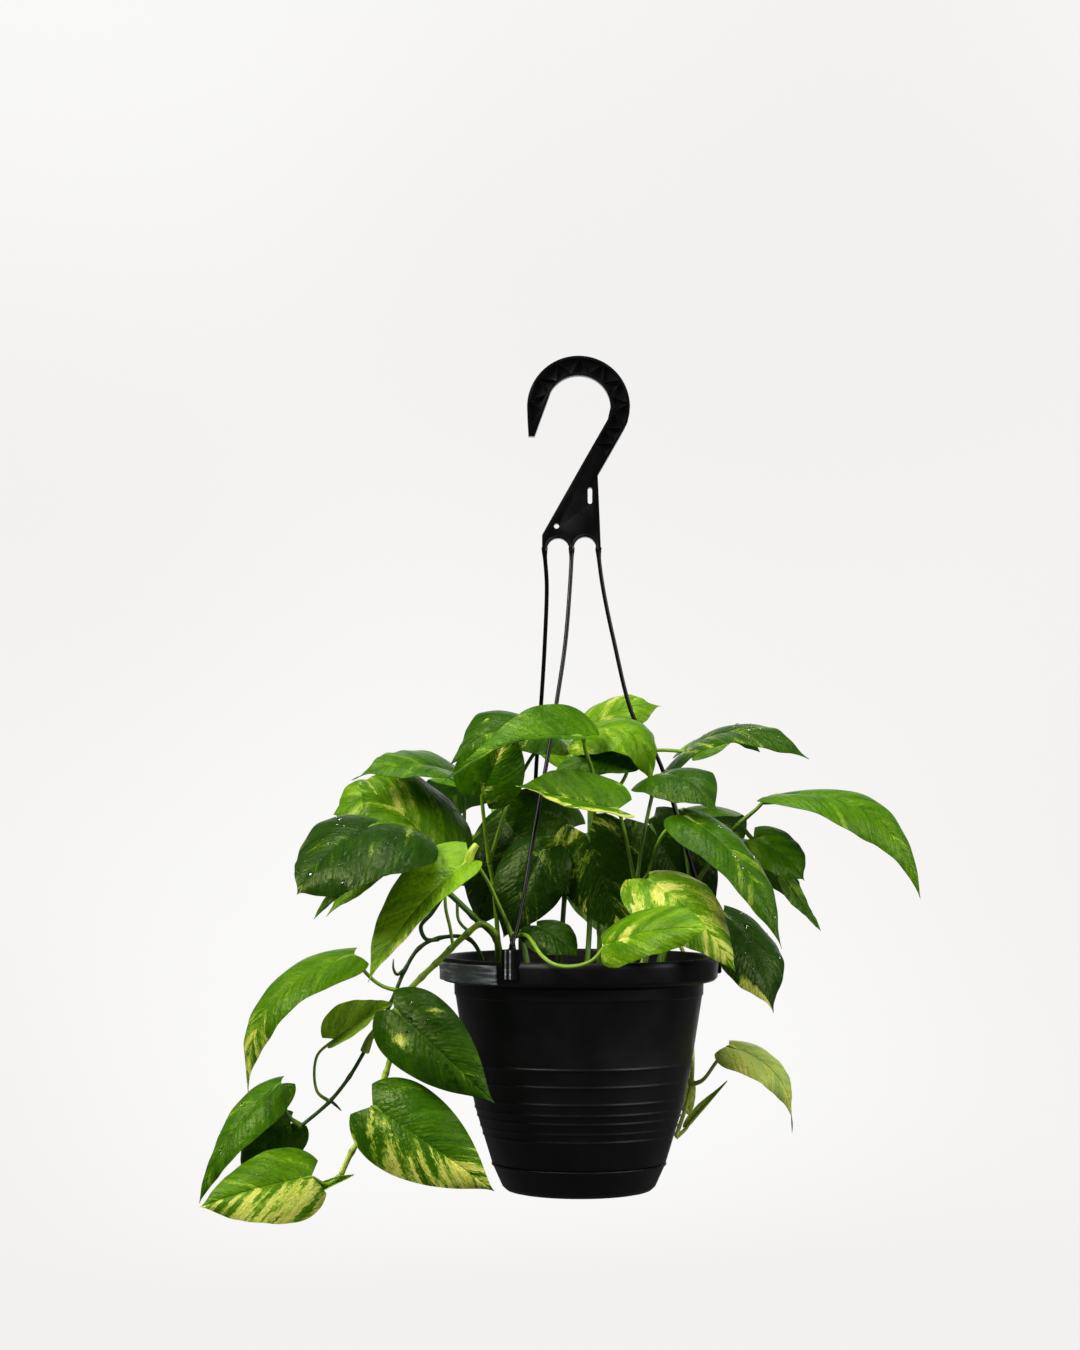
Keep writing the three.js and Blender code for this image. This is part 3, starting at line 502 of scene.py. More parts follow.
# A stem leaves the soil at its `root` and then passes the places in `stem`. Its `sprigs` are leaf
# sheaths, spurs and side stalks, and `narrow` is how much of their thickness they lose. A leaf's row is
# node, base, tip, face, width, tone and gold, and then what differs from the defaults.
VINES = [
    dict(name="vine_trailing_left", radius=2.2, root=(-58, -50), tone=0.42, tip_tone=1.1, stem=[
        (-60, -57, -401), (-70, -63, -394), (-80, -64, -401), (-92, -61, -412), (-102, -60, -422),
        (-112, -60, -431.5), (-122, -60, -443), (-127, -62, -462), (-132, -63, -480), (-138, -64, -501),
        (-151, -66, -538), (-162, -68, -556), (-170, -70, -573)
    ], leaves=[
        Leaf(6, (-161, -54, -416.5), (-236, -62, -519), (-0.55, -0.62, 0.56), 49, 0.4,
             {"all": 0.12, "tip": 0.5}, via=[(-141, -58, -438), (-153, -56, -428)], arch=33, lobe=50,
             uneven=0.12),
        Leaf(7, (-132, -74, -455), (-60, -98, -521.5), (-0.2, -0.9, 0.35), 56, 0.12, {"all": 0.05}, arch=8,
             lobe=64, spots=[(0.2, 0.45, 0.08, 0.6), (0.25, -0.6, 0.06, 0.5)], drops=34),
        Leaf(10, (-147, -84, -524), (-60, -98, -584), (-0.1, -0.95, 0.3), 64, 0.26,
             {"all": 0.08, "plus": 0.48, "tip": 0.42}, arch=8, lobe=55),
        Leaf(12, (-191, -80, -574), (-271, -96, -596), (-0.2, -0.9, 0.4), 56, 0.4,
             {"all": 0.12, "minus": 0.55}, via=[(-180, -72, -579)], arch=6, lobe=50),
        Leaf(12, (-184, -68, -583), (-160, -70, -572), (0, -0.9, 0.4), 13, 0.95, {"all": 0.3}, fold=65,
             curl=0, stalk=1.2),
    ], sprigs=[
        dict(way=[(-96, -57, -372), (-95, -59, -384), (-92, -61, -397), (-90, -62, -410)], thick=1.2,
             narrow=0, tone=0.5, scars=0),
        dict(way=[(-87, -54, -378), (-86, -56, -391), (-80, -60, -398), (-76, -63, -399)], thick=1.1,
             narrow=0, tone=0.4, scars=0),
    ]),
    dict(name="vine_trailing_left_thin", radius=1.5, root=(-66, -22), tone=0.12, stem=[
        (-78, -26, -405), (-100, -30, -404), (-114, -32, -411), (-124, -34, -426), (-135, -38, -451.6),
        (-150, -42, -479), (-164, -45, -503), (-178, -46, -520.5), (-198, -46, -537.7)
    ], leaves=[
        # A pale leaf seen from below. Its tone is raised partly as painted light, against the shade it
        # hangs in.
        Leaf(7, (-175, -52, -476), (-132, -46, -450), (-0.3, -0.7, 0.65), 34, 0.95, {"all": 0.06},
             via=[(-187, -50, -513), (-187, -52, -488)], arch=3, lobe=55, fold=32, curl=5, stalk=1.1),
        Leaf(8, (-213, -40, -508), (-271, -50, -593), (-0.6, -0.75, 0.3), 37, 0.3, {"all": 0.05},
             via=[(-208, -45, -530)], arch=12, drops=16),
        Leaf(8, (-206, -32, -537), (-243, -34, -575), (-0.2, -0.9, 0.4), 42, 0.16, {}, arch=5, stalk=1.2),
    ], sprigs=[
        # The sheath is pale green-brown. Its tone is raised further as painted light, against the shade it
        # lies in.
        dict(way=[(-153, -43.5, -485), (-150, -45, -477), (-145.5, -44, -468)], thick=3.3, tone=1.0,
             scars=0.3),
        dict(way=[(-177, -46, -520), (-173, -47, -523.5), (-169.5, -48, -527)], thick=1.2, tone=0.05,
             scars=0.8),
        dict(way=[(-124, -34, -426), (-130, -37, -430), (-132.5, -38, -426), (-132.6, -38, -419)],
             thick=1.3, tone=0.15, scars=0.3),
        dict(way=[(-96, -54, -372), (-105, -46, -386), (-113, -38, -396), (-109, -33, -405),
             (-100, -30, -405)], thick=1.5, narrow=0, tone=0.2, scars=0),
    ]),
    dict(name="stem_front", radius=1.9, root=(-44, -54), tone=0.62, stem=[
        (-46, -62, -416), (-48, -68, -403)
    ], leaves=[
        Leaf(1, (-78, -96, -348.4), (-151, -130, -436), (-0.4, -0.78, 0.48), 45, 0.62,
             {"all": 0.10, "edge-*tip": 0.7}, via=[(-51, -72, -394), (-57, -78, -381), (-65, -86, -364),
             (-73, -92, -352)], arch=11, lobe=50, fold=14, curl=8, uneven=0.32, drops=6),
        Leaf(1, (18, -115, -410), (91, -148, -397), (0.05, -0.8, 0.6), 45, 0.5, {"all": 0.14},
             via=[(-38, -80, -402), (-33, -94, -407), (-26, -105, -417), (-17, -110, -423),
             (-3, -113, -424), (9.5, -114, -420)], arch=7, lobe=40, taper=1.0, uneven=-0.16,
             spots=[(0.2, -0.05, 0.14, 0.8)]),
    ], sprigs=[
        dict(way=[(-79, -96, -350), (-77, -97.5, -343), (-73, -97, -337)], thick=3.2, narrow=0.35, tone=1.0,
             scars=0),
    ]),
    dict(name="stem_left", radius=2.3, root=(-56, -38), tone=0.3, stem=[
        (-59, -44, -405), (-75, -50, -389), (-94, -56, -371), (-112, -60, -356), (-124, -62, -345)
    ], leaves=[
        Leaf(3, (-104, -40, -338), (-160, -32, -292), (0.5, -0.72, 0.48), 78, 0.42,
             {"all": 0.26, "rib": 0.3}, arch=5, lobe=66, fold=20, uneven=0.3),
        Leaf(4, (-146, -94, -323), (-202, -144, -373), (-0.3, -0.72, 0.62), 90, 0.04, {"all": 0.1},
             via=[(-133, -76, -332)], arch=10, lobe=72, fold=20, uneven=-0.24, drops=30),
        Leaf(4, (-136, -12, -302), (-176, -12, -316), (-0.3, -0.75, 0.6), 48, 0.44, {"all": 0.1},
             via=[(-138, -40, -334)], arch=6),
        Leaf(2, (-86, -4, -288), (-163, -56, -291), (0.05, -0.5, 0.86), 64, 0.32, {"all": 0.08},
             via=[(-86, -20, -350), (-82, 10, -312)], arch=11, taper=1.7, fold=20, curl=20),
        Leaf(4, (-148, -84, -351), (-190, -106, -391), (-0.3, -0.7, 0.6), 19, 0.22, {}, arch=6, lobe=45),
        Leaf(3, (-142, -66, -352), (-181, -76, -389), (-0.4, -0.7, 0.55), 21, 0.5, {}, arch=4, lobe=45),
    ]),
    dict(name="stem_upper_left", radius=1.8, root=(-58, -6), tone=0.5, stem=[
        (-58, -12, -404), (-61, -20, -367), (-64, -26, -350)
    ], leaves=[
        Leaf(2, (-69, -52, -300), (-50, -56, -254), (0.2, -0.95, 0.1), 50, 0.3, {"rib": 0.4, "all": 0.1},
             via=[(-67, -38, -327)], arch=4),
        Leaf(2, (-20, 4, -257), (-92, -44, -280), (-0.2, -0.66, 0.72), 64, 0.16, {"all": 0.06},
             via=[(-52, -28, -312), (-34, -4, -275)], arch=19, spots=[(0.5, 0.5, 0.05, 0.9)]),
        Leaf(1, (-4, -6, -325), (-60, -16, -308), (-0.1, -0.8, 0.6), 54, 0.12, {"all": 0.12},
             via=[(-40, -10, -345), (-18, -6, -335)], arch=6),
    ]),
    dict(name="stem_centre", radius=2, root=(14, -30), tone=0.45, stem=[
        (15, -32, -400), (14, -30, -360), (12, -30, -330)
    ], leaves=[
        Leaf(2, (2.4, -77, -260), (-99, -110, -294), (0.05, -0.5, 0.86), 46, 0.34, {"all": 0.06},
             via=[(11, -50, -304), (10, -62, -286), (5, -72, -270)], arch=14, lobe=84, taper=2.2, fold=28,
             curl=6, uneven=0.42),
        Leaf(2, (4, -22, -257), (53, -32, -296), (0.2, -0.55, 0.8), 56, 0.5, {"all": 0.1, "plus": 0.2},
             via=[(8, -26, -300), (3, -22, -275)], arch=26),
        Leaf(2, (37, -27, -271), (-22, -56, -290), (0, -0.62, 0.78), 38, 0.2, {}, via=[(24, -24, -304),
             (34, -20, -287)], arch=5, lobe=45),
        Leaf(2, (6, 14, -254), (59, 20, -238), (0, -0.7, 0.7), 44, 0.55, {"all": 0.28}, via=[(10, -6, -300),
             (2, 6, -270)], arch=8),
    ]),
    dict(name="stem_centre_right", radius=2.1, root=(38, -52), tone=0.45, stem=[
        (40, -56, -400), (41, -58, -368)
    ], leaves=[
        Leaf(1, (28, -80, -312), (-45, -104, -295), (0.05, -0.64, 0.77), 49, 0.36,
             {"all": 0.14, "rib": 0.3, "edge-": 0.85}, via=[(37, -64, -349), (32, -72, -325)], arch=0,
             fold=30, curl=6),
        Leaf(1, (55, -44, -288), (99, -92, -315), (0.1, -0.62, 0.78), 54, 0.12, {"base*rib": 0.5},
             via=[(44, -54, -345), (49, -48, -318), (53, -44, -300)], arch=12),
        Leaf(1, (76, -78, -317), (145, -118, -411.5), (0.5, -0.68, 0.55), 48, 0.2, {"all": 0.06},
             via=[(49, -64, -359), (55, -70, -341), (61, -74, -329)], arch=16, fold=20, drops=18),
    ]),
    dict(name="stem_right_front", radius=2, root=(60, -38), tone=0.4, stem=[
        (64, -46, -408), (68, -54, -392)
    ], leaves=[
        Leaf(1, (50, -84, -362), (112, -120, -428), (0.2, -0.75, 0.6), 60, 0.55,
             {"all": 0.46, "minus": 0.3}, via=[(58, -68, -378)], arch=10),
        Leaf(1, (103, -52, -386), (139, -84, -457), (0.55, -0.8, 0.25), 62, 0.02,
             {"edge+*tip": 1.0, "all": 0.03}, via=[(86, -52, -386)], arch=10, drops=26),
    ]),
    dict(name="stem_right", radius=2, root=(56, 8), tone=0.36, stem=[
        (62, 14, -405), (80, 18, -372), (100, 8, -340), (115, -2, -322)
    ], leaves=[
        Leaf(1, (63, 38, -286), (165, -18, -276), (0.08, -0.42, 0.9), 70, 0.12, {"all": 0.12},
             via=[(76, 29, -340), (68, 37, -305)], arch=26, lobe=74, fold=14, curl=20, drops=24),
        Leaf(3, (136.5, -10, -303), (244, -26, -376), (0.35, -0.12, 0.93), 54, 0.36,
             {"all": 0.08, "tip": 0.1}, via=[(127, -6, -312)], arch=30, lobe=45, twist=-72),
        Leaf(3, (125, 4, -333), (161.5, -8, -363), (0.4, -0.8, 0.4), 44, 0.3, {}, arch=6, lobe=45, fold=25),
        Leaf(2, (146, 26, -361), (173, 24, -398.5), (0.6, -0.6, 0.5), 20, 0.28, {"all": 0.1},
             via=[(118, 22, -345)], lobe=45, fold=30, stalk=1.2),
    ]),
    # This stem's leaves lie deep in the crown. Their tones near 0 are partly painted shade: the shade
    # inside the crown.
    dict(name="stem_inner", radius=1.9, root=(-14, -44), tone=0.2, stem=[
        (-12, -44, -400), (-10, -42, -372), (-8, -38, -348)
    ], leaves=[
        Leaf(2, (6, -48, -330), (31, -49, -402), (0, -1, 0.1), 60, 0.02, {"all": 0.25}, arch=2, fold=4,
             curl=10),
        Leaf(2, (-26, -52, -342), (-54, -60, -404), (-0.1, -0.95, 0.25), 52, 0.0, {"all": 0.1}, arch=4),
        Leaf(0, (-30, -68, -395), (-1, -86, -417), (0, -0.6, 0.8), 36, 0.06, {}, via=[(-21, -60, -397)],
             arch=3, stalk=1.2),
    ]),
    # This vine's stem and leaves are set above tone 1 as painted light: the glow of leaves lit from behind,
    # in the pot's shade. Its leaves' real yellow marks are raised for the same glow.
    dict(name="vine_trailing_right", radius=1.7, root=(44, 58), tone=1.2, stem=[
        (54, 66, -408), (66, 76, -402), (77, 84, -420), (80, 66, -460), (80, 50, -508), (69, 48, -546)
    ], leaves=[
        Leaf(4, (107, 40, -481), (152, 34, -542), (0.3, -0.7, 0.65), 42, 1.5,
             {"all": 0.62, "minus": 0.2, "tip": 0.9}, via=[(88, 46, -505), (98, 42, -492)], arch=23,
             lobe=50, taper=1.9),
        Leaf(4, (68, 64, -499), (79, 62, -531), (0.3, -0.9, 0.2), 26, 1.4, {"all": 0.25},
             via=[(74, 60, -500)], arch=4, stalk=1.2),
        Leaf(5, (77, 48, -538), (106, 44, -505), (-0.5, -0.8, 0.2), 12, 1.4, {"all": 0.5}, fold=65, curl=0,
             stalk=1.2),
    ]),
    dict(name="stem_back_left", radius=2.2, root=(-36, 34), tone=0.35, stem=[
        (-44, 44, -392), (-54, 56, -350), (-60, 64, -318)
    ], leaves=[
        Leaf(1, (-84, 70, -328), (-160, 116, -368), (-0.3, 0.45, 0.85), 74, 0.3, {"all": 0.16},
             via=[(-68, 64, -335)], arch=16),
        Leaf(2, (-66, 92, -292), (-100, 164, -325), (-0.1, 0.5, 0.86), 72, 0.42, {"all": 0.1, "plus": 0.4},
             via=[(-64, 80, -300)], arch=16),
        Leaf(0, (-88, 62, -364), (-122, 108, -400), (-0.5, 0.4, 0.75), 50, 0.2, {"all": 0.08},
             via=[(-66, 54, -370)], arch=14),
        # A leaf deep in the crown: its tone near 0 is partly painted shade.
        Leaf(2, (-36, 34, -318), (-74, 24, -398), (-0.2, -0.85, 0.45), 72, 0.02, {"all": 0.12},
             via=[(-48, 50, -312)], arch=8),
    ]),
    dict(name="stem_back", radius=2.1, root=(6, 50), tone=0.38, stem=[
        (8, 60, -388), (8, 68, -340), (8, 72, -300)
    ], leaves=[
        Leaf(1, (12, 108, -335), (20, 190, -410), (0, 0.7, 0.7), 78, 0.26, {"all": 0.12, "minus": 0.35},
             via=[(10, 90, -330)], arch=18),
        Leaf(2, (80, 84, -269), (130, 128, -271), (0.2, 0.2, 0.96), 50, 0.4, {"all": 0.15},
             via=[(18, 76, -280), (54, 80, -270)], arch=12),
        Leaf(2, (-4, 76, -276), (-48, 136, -262), (-0.1, 0.4, 0.9), 62, 0.52, {"all": 0.25}, arch=14),
    ]),
    dict(name="stem_back_right", radius=2, root=(46, 32), tone=0.35, stem=[
        (58, 42, -392), (72, 52, -350)
    ], leaves=[
        Leaf(1, (98, 62, -334), (158, 104, -382), (0.4, 0.3, 0.87), 72, 0.3, {"all": 0.1},
             via=[(86, 58, -338)], arch=16),
        Leaf(1, (74, 90, -312), (112, 160, -350), (0.1, 0.5, 0.86), 70, 0.38, {"all": 0.12, "tip": 0.4},
             via=[(72, 72, -325)], arch=14),
        # A leaf deep in the crown: its tone near 0 is partly painted shade.
        Leaf(1, (52, 36, -324), (92, 30, -406), (0.1, -0.9, 0.4), 72, 0.0, {"all": 0.1},
             via=[(62, 50, -326)], arch=8),
    ]),
    dict(name="vine_trailing_back", radius=1.8, root=(-14, 62), tone=0.3, stem=[
        (-16, 84, -400), (-18, 104, -406), (-20, 118, -424), (-22, 122, -465), (-20, 122, -505),
        (-17, 121, -528)
    ], leaves=[
        Leaf(3, (-42, 132, -464), (-66, 150, -535), (-0.4, 0.8, 0.4), 64, 0.3, {"all": 0.12, "plus": 0.5},
             via=[(-34, 128, -462)], arch=12),
        Leaf(4, (4, 134, -500), (34, 146, -575), (0.2, 0.9, 0.35), 62, 0.4, {"all": 0.15},
             via=[(-8, 130, -500)], arch=12),
        Leaf(5, (-20, 124, -540), (-28, 130, -574), (0, 0.9, 0.3), 40, 0.62, {"all": 0.1}, arch=5,
             stalk=1.2),
    ]),
]

for number, leaf in enumerate(leaf for vine in VINES for leaf in vine["leaves"]):
    leaf.phase = (0.618 * number) % 1
    leaf.seed = 3.7 * number

# Where on a blade a yellow mark lies, from s along it and t across it.
MASKS = {
    "all": lambda s, t: 1.0,
    "plus": lambda s, t: smooth(0.5 + t / 0.35),
    "minus": lambda s, t: smooth(0.5 - t / 0.35),
    "tip": lambda s, t: smooth((s - 0.35) / 0.4),
    "base": lambda s, t: smooth((0.4 - s) / 0.3),
    "rib": lambda s, t: np.exp(-((t / 0.22) ** 2)),
    "edge+": lambda s, t: smooth((t - 0.5) / 0.35),
    "edge-": lambda s, t: smooth((-t - 0.5) / 0.35),
}


def golden(leaf, s, t):
    """How much of each place on the blade the yellow marks take, 0 to 1."""
    amount = np.zeros(np.broadcast(s, t).shape)
    for kinds, share in leaf.gold.items():
        value = share
        for kind in kinds.split("*"):
            value = value * MASKS[kind](s, t)
        amount = np.maximum(amount, value)
    for s0, t0, size, share in leaf.spots:
        away = ((s - s0) / size) ** 2 + ((t - t0) / (2.2 * size)) ** 2
        amount = np.maximum(amount, share * np.exp(-away))
    return amount


def green(tone):
    """The blade's green, from deep (0) to fresh (1), and above 1 to pale (1.5), which is painted light: the
    glow of leaves lit from behind.
    """
    channels = zip(*(rgb(code) for code in GREENS.values()))
    return np.array([np.interp(tone, list(GREENS), channel) for channel in channels])


def midrib(leaf, s):
    """The midrib's places at the shares s of its length, the way ahead at each, the way up, its length."""
    base, tip = seen(leaf.base), seen(leaf.tip)
    length = np.linalg.norm(tip - base)
    forward = (tip - base) / length
    up = np.array(leaf.face, float)
    up = unit(up - forward * np.dot(up, forward))
    bend = (base + tip) / 2 + 2 * leaf.arch * up
    s = np.asarray(s, float)[..., None]
    point = (1 - s) ** 2 * base + 2 * s * (1 - s) * bend + s * s * tip
    ahead = unit(2 * (1 - s) * (bend - base) + 2 * s * (tip - bend))
    return point, ahead, up, length


def blade_points(leaf, s, t):
    """Points of the upper face, the way out of it, their distance from the midrib, and its length.

    The rows s run from base to tip. The columns t run along the side veins, from edge to edge.
    """
    s, t = s[:, None], t[None, :]
    point, ahead, up, length = midrib(leaf, s)
    level = unit(np.cross(ahead, up))
    above = np.cross(level, ahead)
    twist = np.radians(leaf.twist * s)[..., None]
    across = level * np.cos(twist) + above * np.sin(twist)
    above = above * np.cos(twist) - level * np.sin(twist)
    size, sign = np.abs(t), np.sign(t)
    near_base = np.exp(-s / 0.05)
    # A side vein leans away from the way ahead, most of all at the lobes.
    lean = np.radians(45 + leaf.lobe * (1 - s) ** 1.6 + 32 * near_base)
    rounding = (1 - 0.42 * near_base) * (1 + leaf.uneven * sign)
    out = size * (leaf.width / 2) * (1 - s) ** leaf.taper * (0.94 + 2.15 * s) * rounding
    lift = np.radians(leaf.fold - leaf.curl * size)
    slow_wave = 0.04 * t * t * np.sin(2 * np.pi * (1.5 * s + leaf.phase + 0.21 * sign))
    quick_wave = 0.008 * t**4 * np.sin(2 * np.pi * (5.5 * s + 3 * leaf.phase + 0.4 * sign))
    ripple = leaf.width * (slow_wave + quick_wave) * (1 - s**6)
    place = point + ahead * (out * np.cos(lean))[..., None]
    place = place + across * (sign * out * np.sin(lean) * np.cos(lift))[..., None]
    place = place + above * (out * np.sin(lean) * np.sin(lift) + ripple)[..., None]
    outward = above * np.cos(lift)[..., None] - across * (sign * np.sin(lift))[..., None]
    return place, outward, sign * out, length


def add_blade(mesh, leaf):
    """A blade with an upper and a lower skin, thickest at the midrib."""
    rows, columns = 46, 27
    keep = (rows - 1) * columns + 1  # the last row is one vertex, the blade's tip
    s = np.linspace(0, 1, rows) ** 1.35
    k = np.linspace(-1, 1, columns)
    t = np.sign(k) * np.abs(k) ** 1.1
    upper, outward, across, length = blade_points(leaf, s, t)
    along = np.broadcast_to(s[:, None] * length, across.shape)
    # The midrib is a groove above and a ridge below, and fades towards the tip.
    near_rib = np.exp(-((across / 1.3) ** 2)) * (1 - s[:, None] ** 2)
    lower = upper - outward * (0.42 + 0.75 * near_rib)[..., None]
    upper = upper - outward * (0.28 * near_rib)[..., None]
    place = np.stack([across, along, np.full_like(across, leaf.seed)], axis=-1)

    def flat(grid):
        return grid.reshape(rows * columns, *grid.shape[2:])[:keep]

    def at(r, c):
        return keep - 1 if r == rows - 1 else r * columns + c

    faces = []
    for r in range(rows - 1):
        for c in range(columns - 1):
            quad = [at(r, c), at(r, c + 1), at(r + 1, c + 1), at(r + 1, c)]
            quad = quad[:3] if r == rows - 2 else quad
            faces.append(tuple(quad))
            faces.append(tuple(i + keep for i in reversed(quad)))
    rim = [at(0, c) for c in range(columns)]
    rim += [at(r, columns - 1) for r in range(1, rows)]
    rim += [at(r, 0) for r in range(rows - 2, 0, -1)]
    for a, b in zip(rim, rim[1:] + rim[:1]):
        faces.append((b, a, a + keep, b + keep))
    gold = flat(golden(leaf, s[:, None], t[None, :]))
    mesh.add(np.vstack([flat(upper), flat(lower)]), faces, 0, np.tile(flat(place), (2, 1)),
             green(leaf.tone), np.tile(gold, 2), np.repeat((0.0, 1.0), keep))


def add_stalk(mesh, points, radius, tones, scars, step, sides, rng):
    """A round stalk. `radius` takes the run along it and its length, and gives the radius there.
    `tones` are its tones at the start and at the end. `scars` is a share, or takes the run and gives it."""
    line, run = path(points, step)
    verts, faces = tube(line, [radius(d, run[-1]) for d in run], sides)
    angle = np.tile(np.arange(sides) / sides * 6, len(run))
    place = np.stack([angle, np.repeat(run, sides), np.full(len(verts), rng.random() * 50)], axis=1)
    scarred = np.repeat(np.broadcast_to(scars(run) if callable(scars) else scars, (len(run),)), sides)
    colours = np.array([green(tone) for tone in np.linspace(*tones, len(run))]) * STALK_TINT
    mesh.add(verts, faces, 1, place, np.repeat(colours, sides, axis=0), scarred)


def build_vine(vine, rng):
    mesh = Builder()
    x, y, _ = seen((*vine["root"], SOIL_TOP))
    joints = [seen(p) for p in vine["stem"]]
    points = [np.array((x, y, z)) for z in (STEM_FOOT, STEM_NECK)] + joints
    line, run = path(points, 2.0)
    knots = [run[np.argmin(np.linalg.norm(line - p, axis=1))] for p in joints]

    def stem_radius(d, whole):
        """A stem tapers, swells at its nodes, and is round at its end."""
        swell = sum(0.22 * math.exp(-((d - k) / 2.6) ** 2) for k in knots)
        end = math.sqrt(max(0.0, 1 - max(0.0, (d - (whole - 2.5)) / 2.5) ** 2))
        return vine["radius"] * (1 - 0.12 * d / whole + swell) * (0.25 + 0.75 * end)

    def scars(d):
        return np.clip(sum(0.8 * np.exp(-((d - k) / 1.6) ** 2) for k in knots), 0, 0.9)

    tones = (vine["tone"], vine.get("tip_tone", vine["tone"]))
    add_stalk(mesh, points, stem_radius, tones, scars, 1.5, 12, rng)

    for leaf in vine["leaves"]:
        add_blade(mesh, leaf)
        up = midrib(leaf, 0.0)[2]
        under = [midrib(leaf, s)[0] - up * drop for s, drop in ((0, 0.9), (0.08, 0.3))]
        way = [joints[leaf.node]] + [seen(p) for p in leaf.via] + under

        def petiole_radius(d, whole):
            """A petiole is thick at the stem and at the bend below its blade, and runs out under it."""
            sheath = 0.35 * math.exp(-(d / 9) ** 2)
            collar = 0.14 * math.exp(-((whole - 7 - d) / 3.5) ** 2)
            end = 1 - 0.6 * smooth((d - whole + 6) / 6)
            return leaf.stalk * (0.9 + sheath + collar) * end

        tone = min(0.35 * vine["tone"] + 0.35 * leaf.tone + 0.25, 1.3)
        add_stalk(mesh, way, petiole_radius, (tone, tone), 0.0, 2.0, 10, rng)

    for sprig in vine.get("sprigs", []):
        way = [seen(p) for p in sprig["way"]]

        def sprig_radius(d, whole):
            return sprig["thick"] * (1 - sprig.get("narrow", 0.75) * (d / whole) ** 2)

        tones = (sprig["tone"], sprig["tone"])
        add_stalk(mesh, way, sprig_radius, tones, sprig["scars"], 1.0, 10, rng)

    mesh.make(vine["name"] + "_grown", [BLADE, STALK], [vine["name"]], 50)


# Water drops
def add_drops(mesh, leaf, rng):
    """Flat domes strewn over the blade's upper face."""
    circles, around = 4, 8
    for _ in range(leaf.drops):
        s = np.array([rng.uniform(0.08, 0.85)])
        t = np.array([rng.uniform(-0.85, 0.85)])
        place, outward = (found[0, 0] for found in blade_points(leaf, s, t)[:2])
        normal = unit(outward)
        side = unit(np.cross(normal, (0.31, 0.17, 0.93)))
        other = np.cross(normal, side)
        radius = 0.5 + 1.25 * rng.random() ** 2.2
        height = 0.55 * radius
        dome = circle(0, 1, 1)
        for a in np.linspace(0, math.pi / 2, circles + 1)[1:]:
            dome += circle(math.sin(a), math.cos(a), around)
        verts = [place + normal * (height * z + 0.05) + radius * (side * x + other * y) for x, y, z in dome]
        rings = [[0] * around] + [ring(1 + i * around, around) for i in range(circles)]
        rings.append([len(verts)] * around)
        mesh.add(verts + [place - normal * 0.05], skin(rings, flip=True))


# Pot, saucer, soil
WALL = [(-562.3, 62), (-523.3, 74), (-489.6, 80.9), (-435, 89.5)]  # heights and outer radii
WALL_RINGS = [(-542, 0.5), (-536, 0.4), (-529, 0.5), (-523, 0.4), (-515.4, 0.5), (-503.2, 0.5), (-491, 0.6)]
LUGS = {"front": 242, "back": 113, "right": 0}  # degrees round the brim
LUG_RADIUS, LUG_TOP, LUG_HEIGHT = 97.8, -407.7, 21
CLIP = (2.2, 5, 17)  # a strand's lower end, inside its lug
# A lug is a socket of four walls round the strand's clip, with two ribs on its outer face in the panel's
# material, scuffed and pale grey partly as painted reflection:
# for each one how far out and aside it is, its size, its chamfer and its material.
LUG_BARS = [
    (2.55, 0, (1.9, 12.5, LUG_HEIGHT), 0.5, 0),
    (-2.55, 0, (1.9, 12.5, LUG_HEIGHT), 0.5, 0),
    (0, 4.65, (7, 3.2, LUG_HEIGHT), 0.5, 0),
    (0, -4.65, (7, 3.2, LUG_HEIGHT), 0.5, 0),
    (3.55, -3.0, (0.9, 1.3, 20), 0.3, 1),
    (3.55, 0.6, (0.9, 1.3, 20), 0.3, 1),
]
# The flat panel on the brim, scuffed and lighter grey partly as painted reflection: from where to where it
# runs, and its section.
PANEL_ARC, PANEL_STEPS = (193, 235.5), 24
PANEL_SECTION = [(98.2, -432.4), (100.3, -432), (100.9, -431.4), (101.1, -420.2), (100.6, -419.4),
                 (98.6, -419)]
ROUND = 160  # segments of a full turn


def wall_radius(z):
    return float(np.interp(z, *zip(*WALL)))


def rim_place(angle, radius, z, aside=0.0):
    c, s = math.cos(math.radians(angle)), math.sin(math.radians(angle))
    return np.array([radius * c - aside * s, radius * s + aside * c, z])


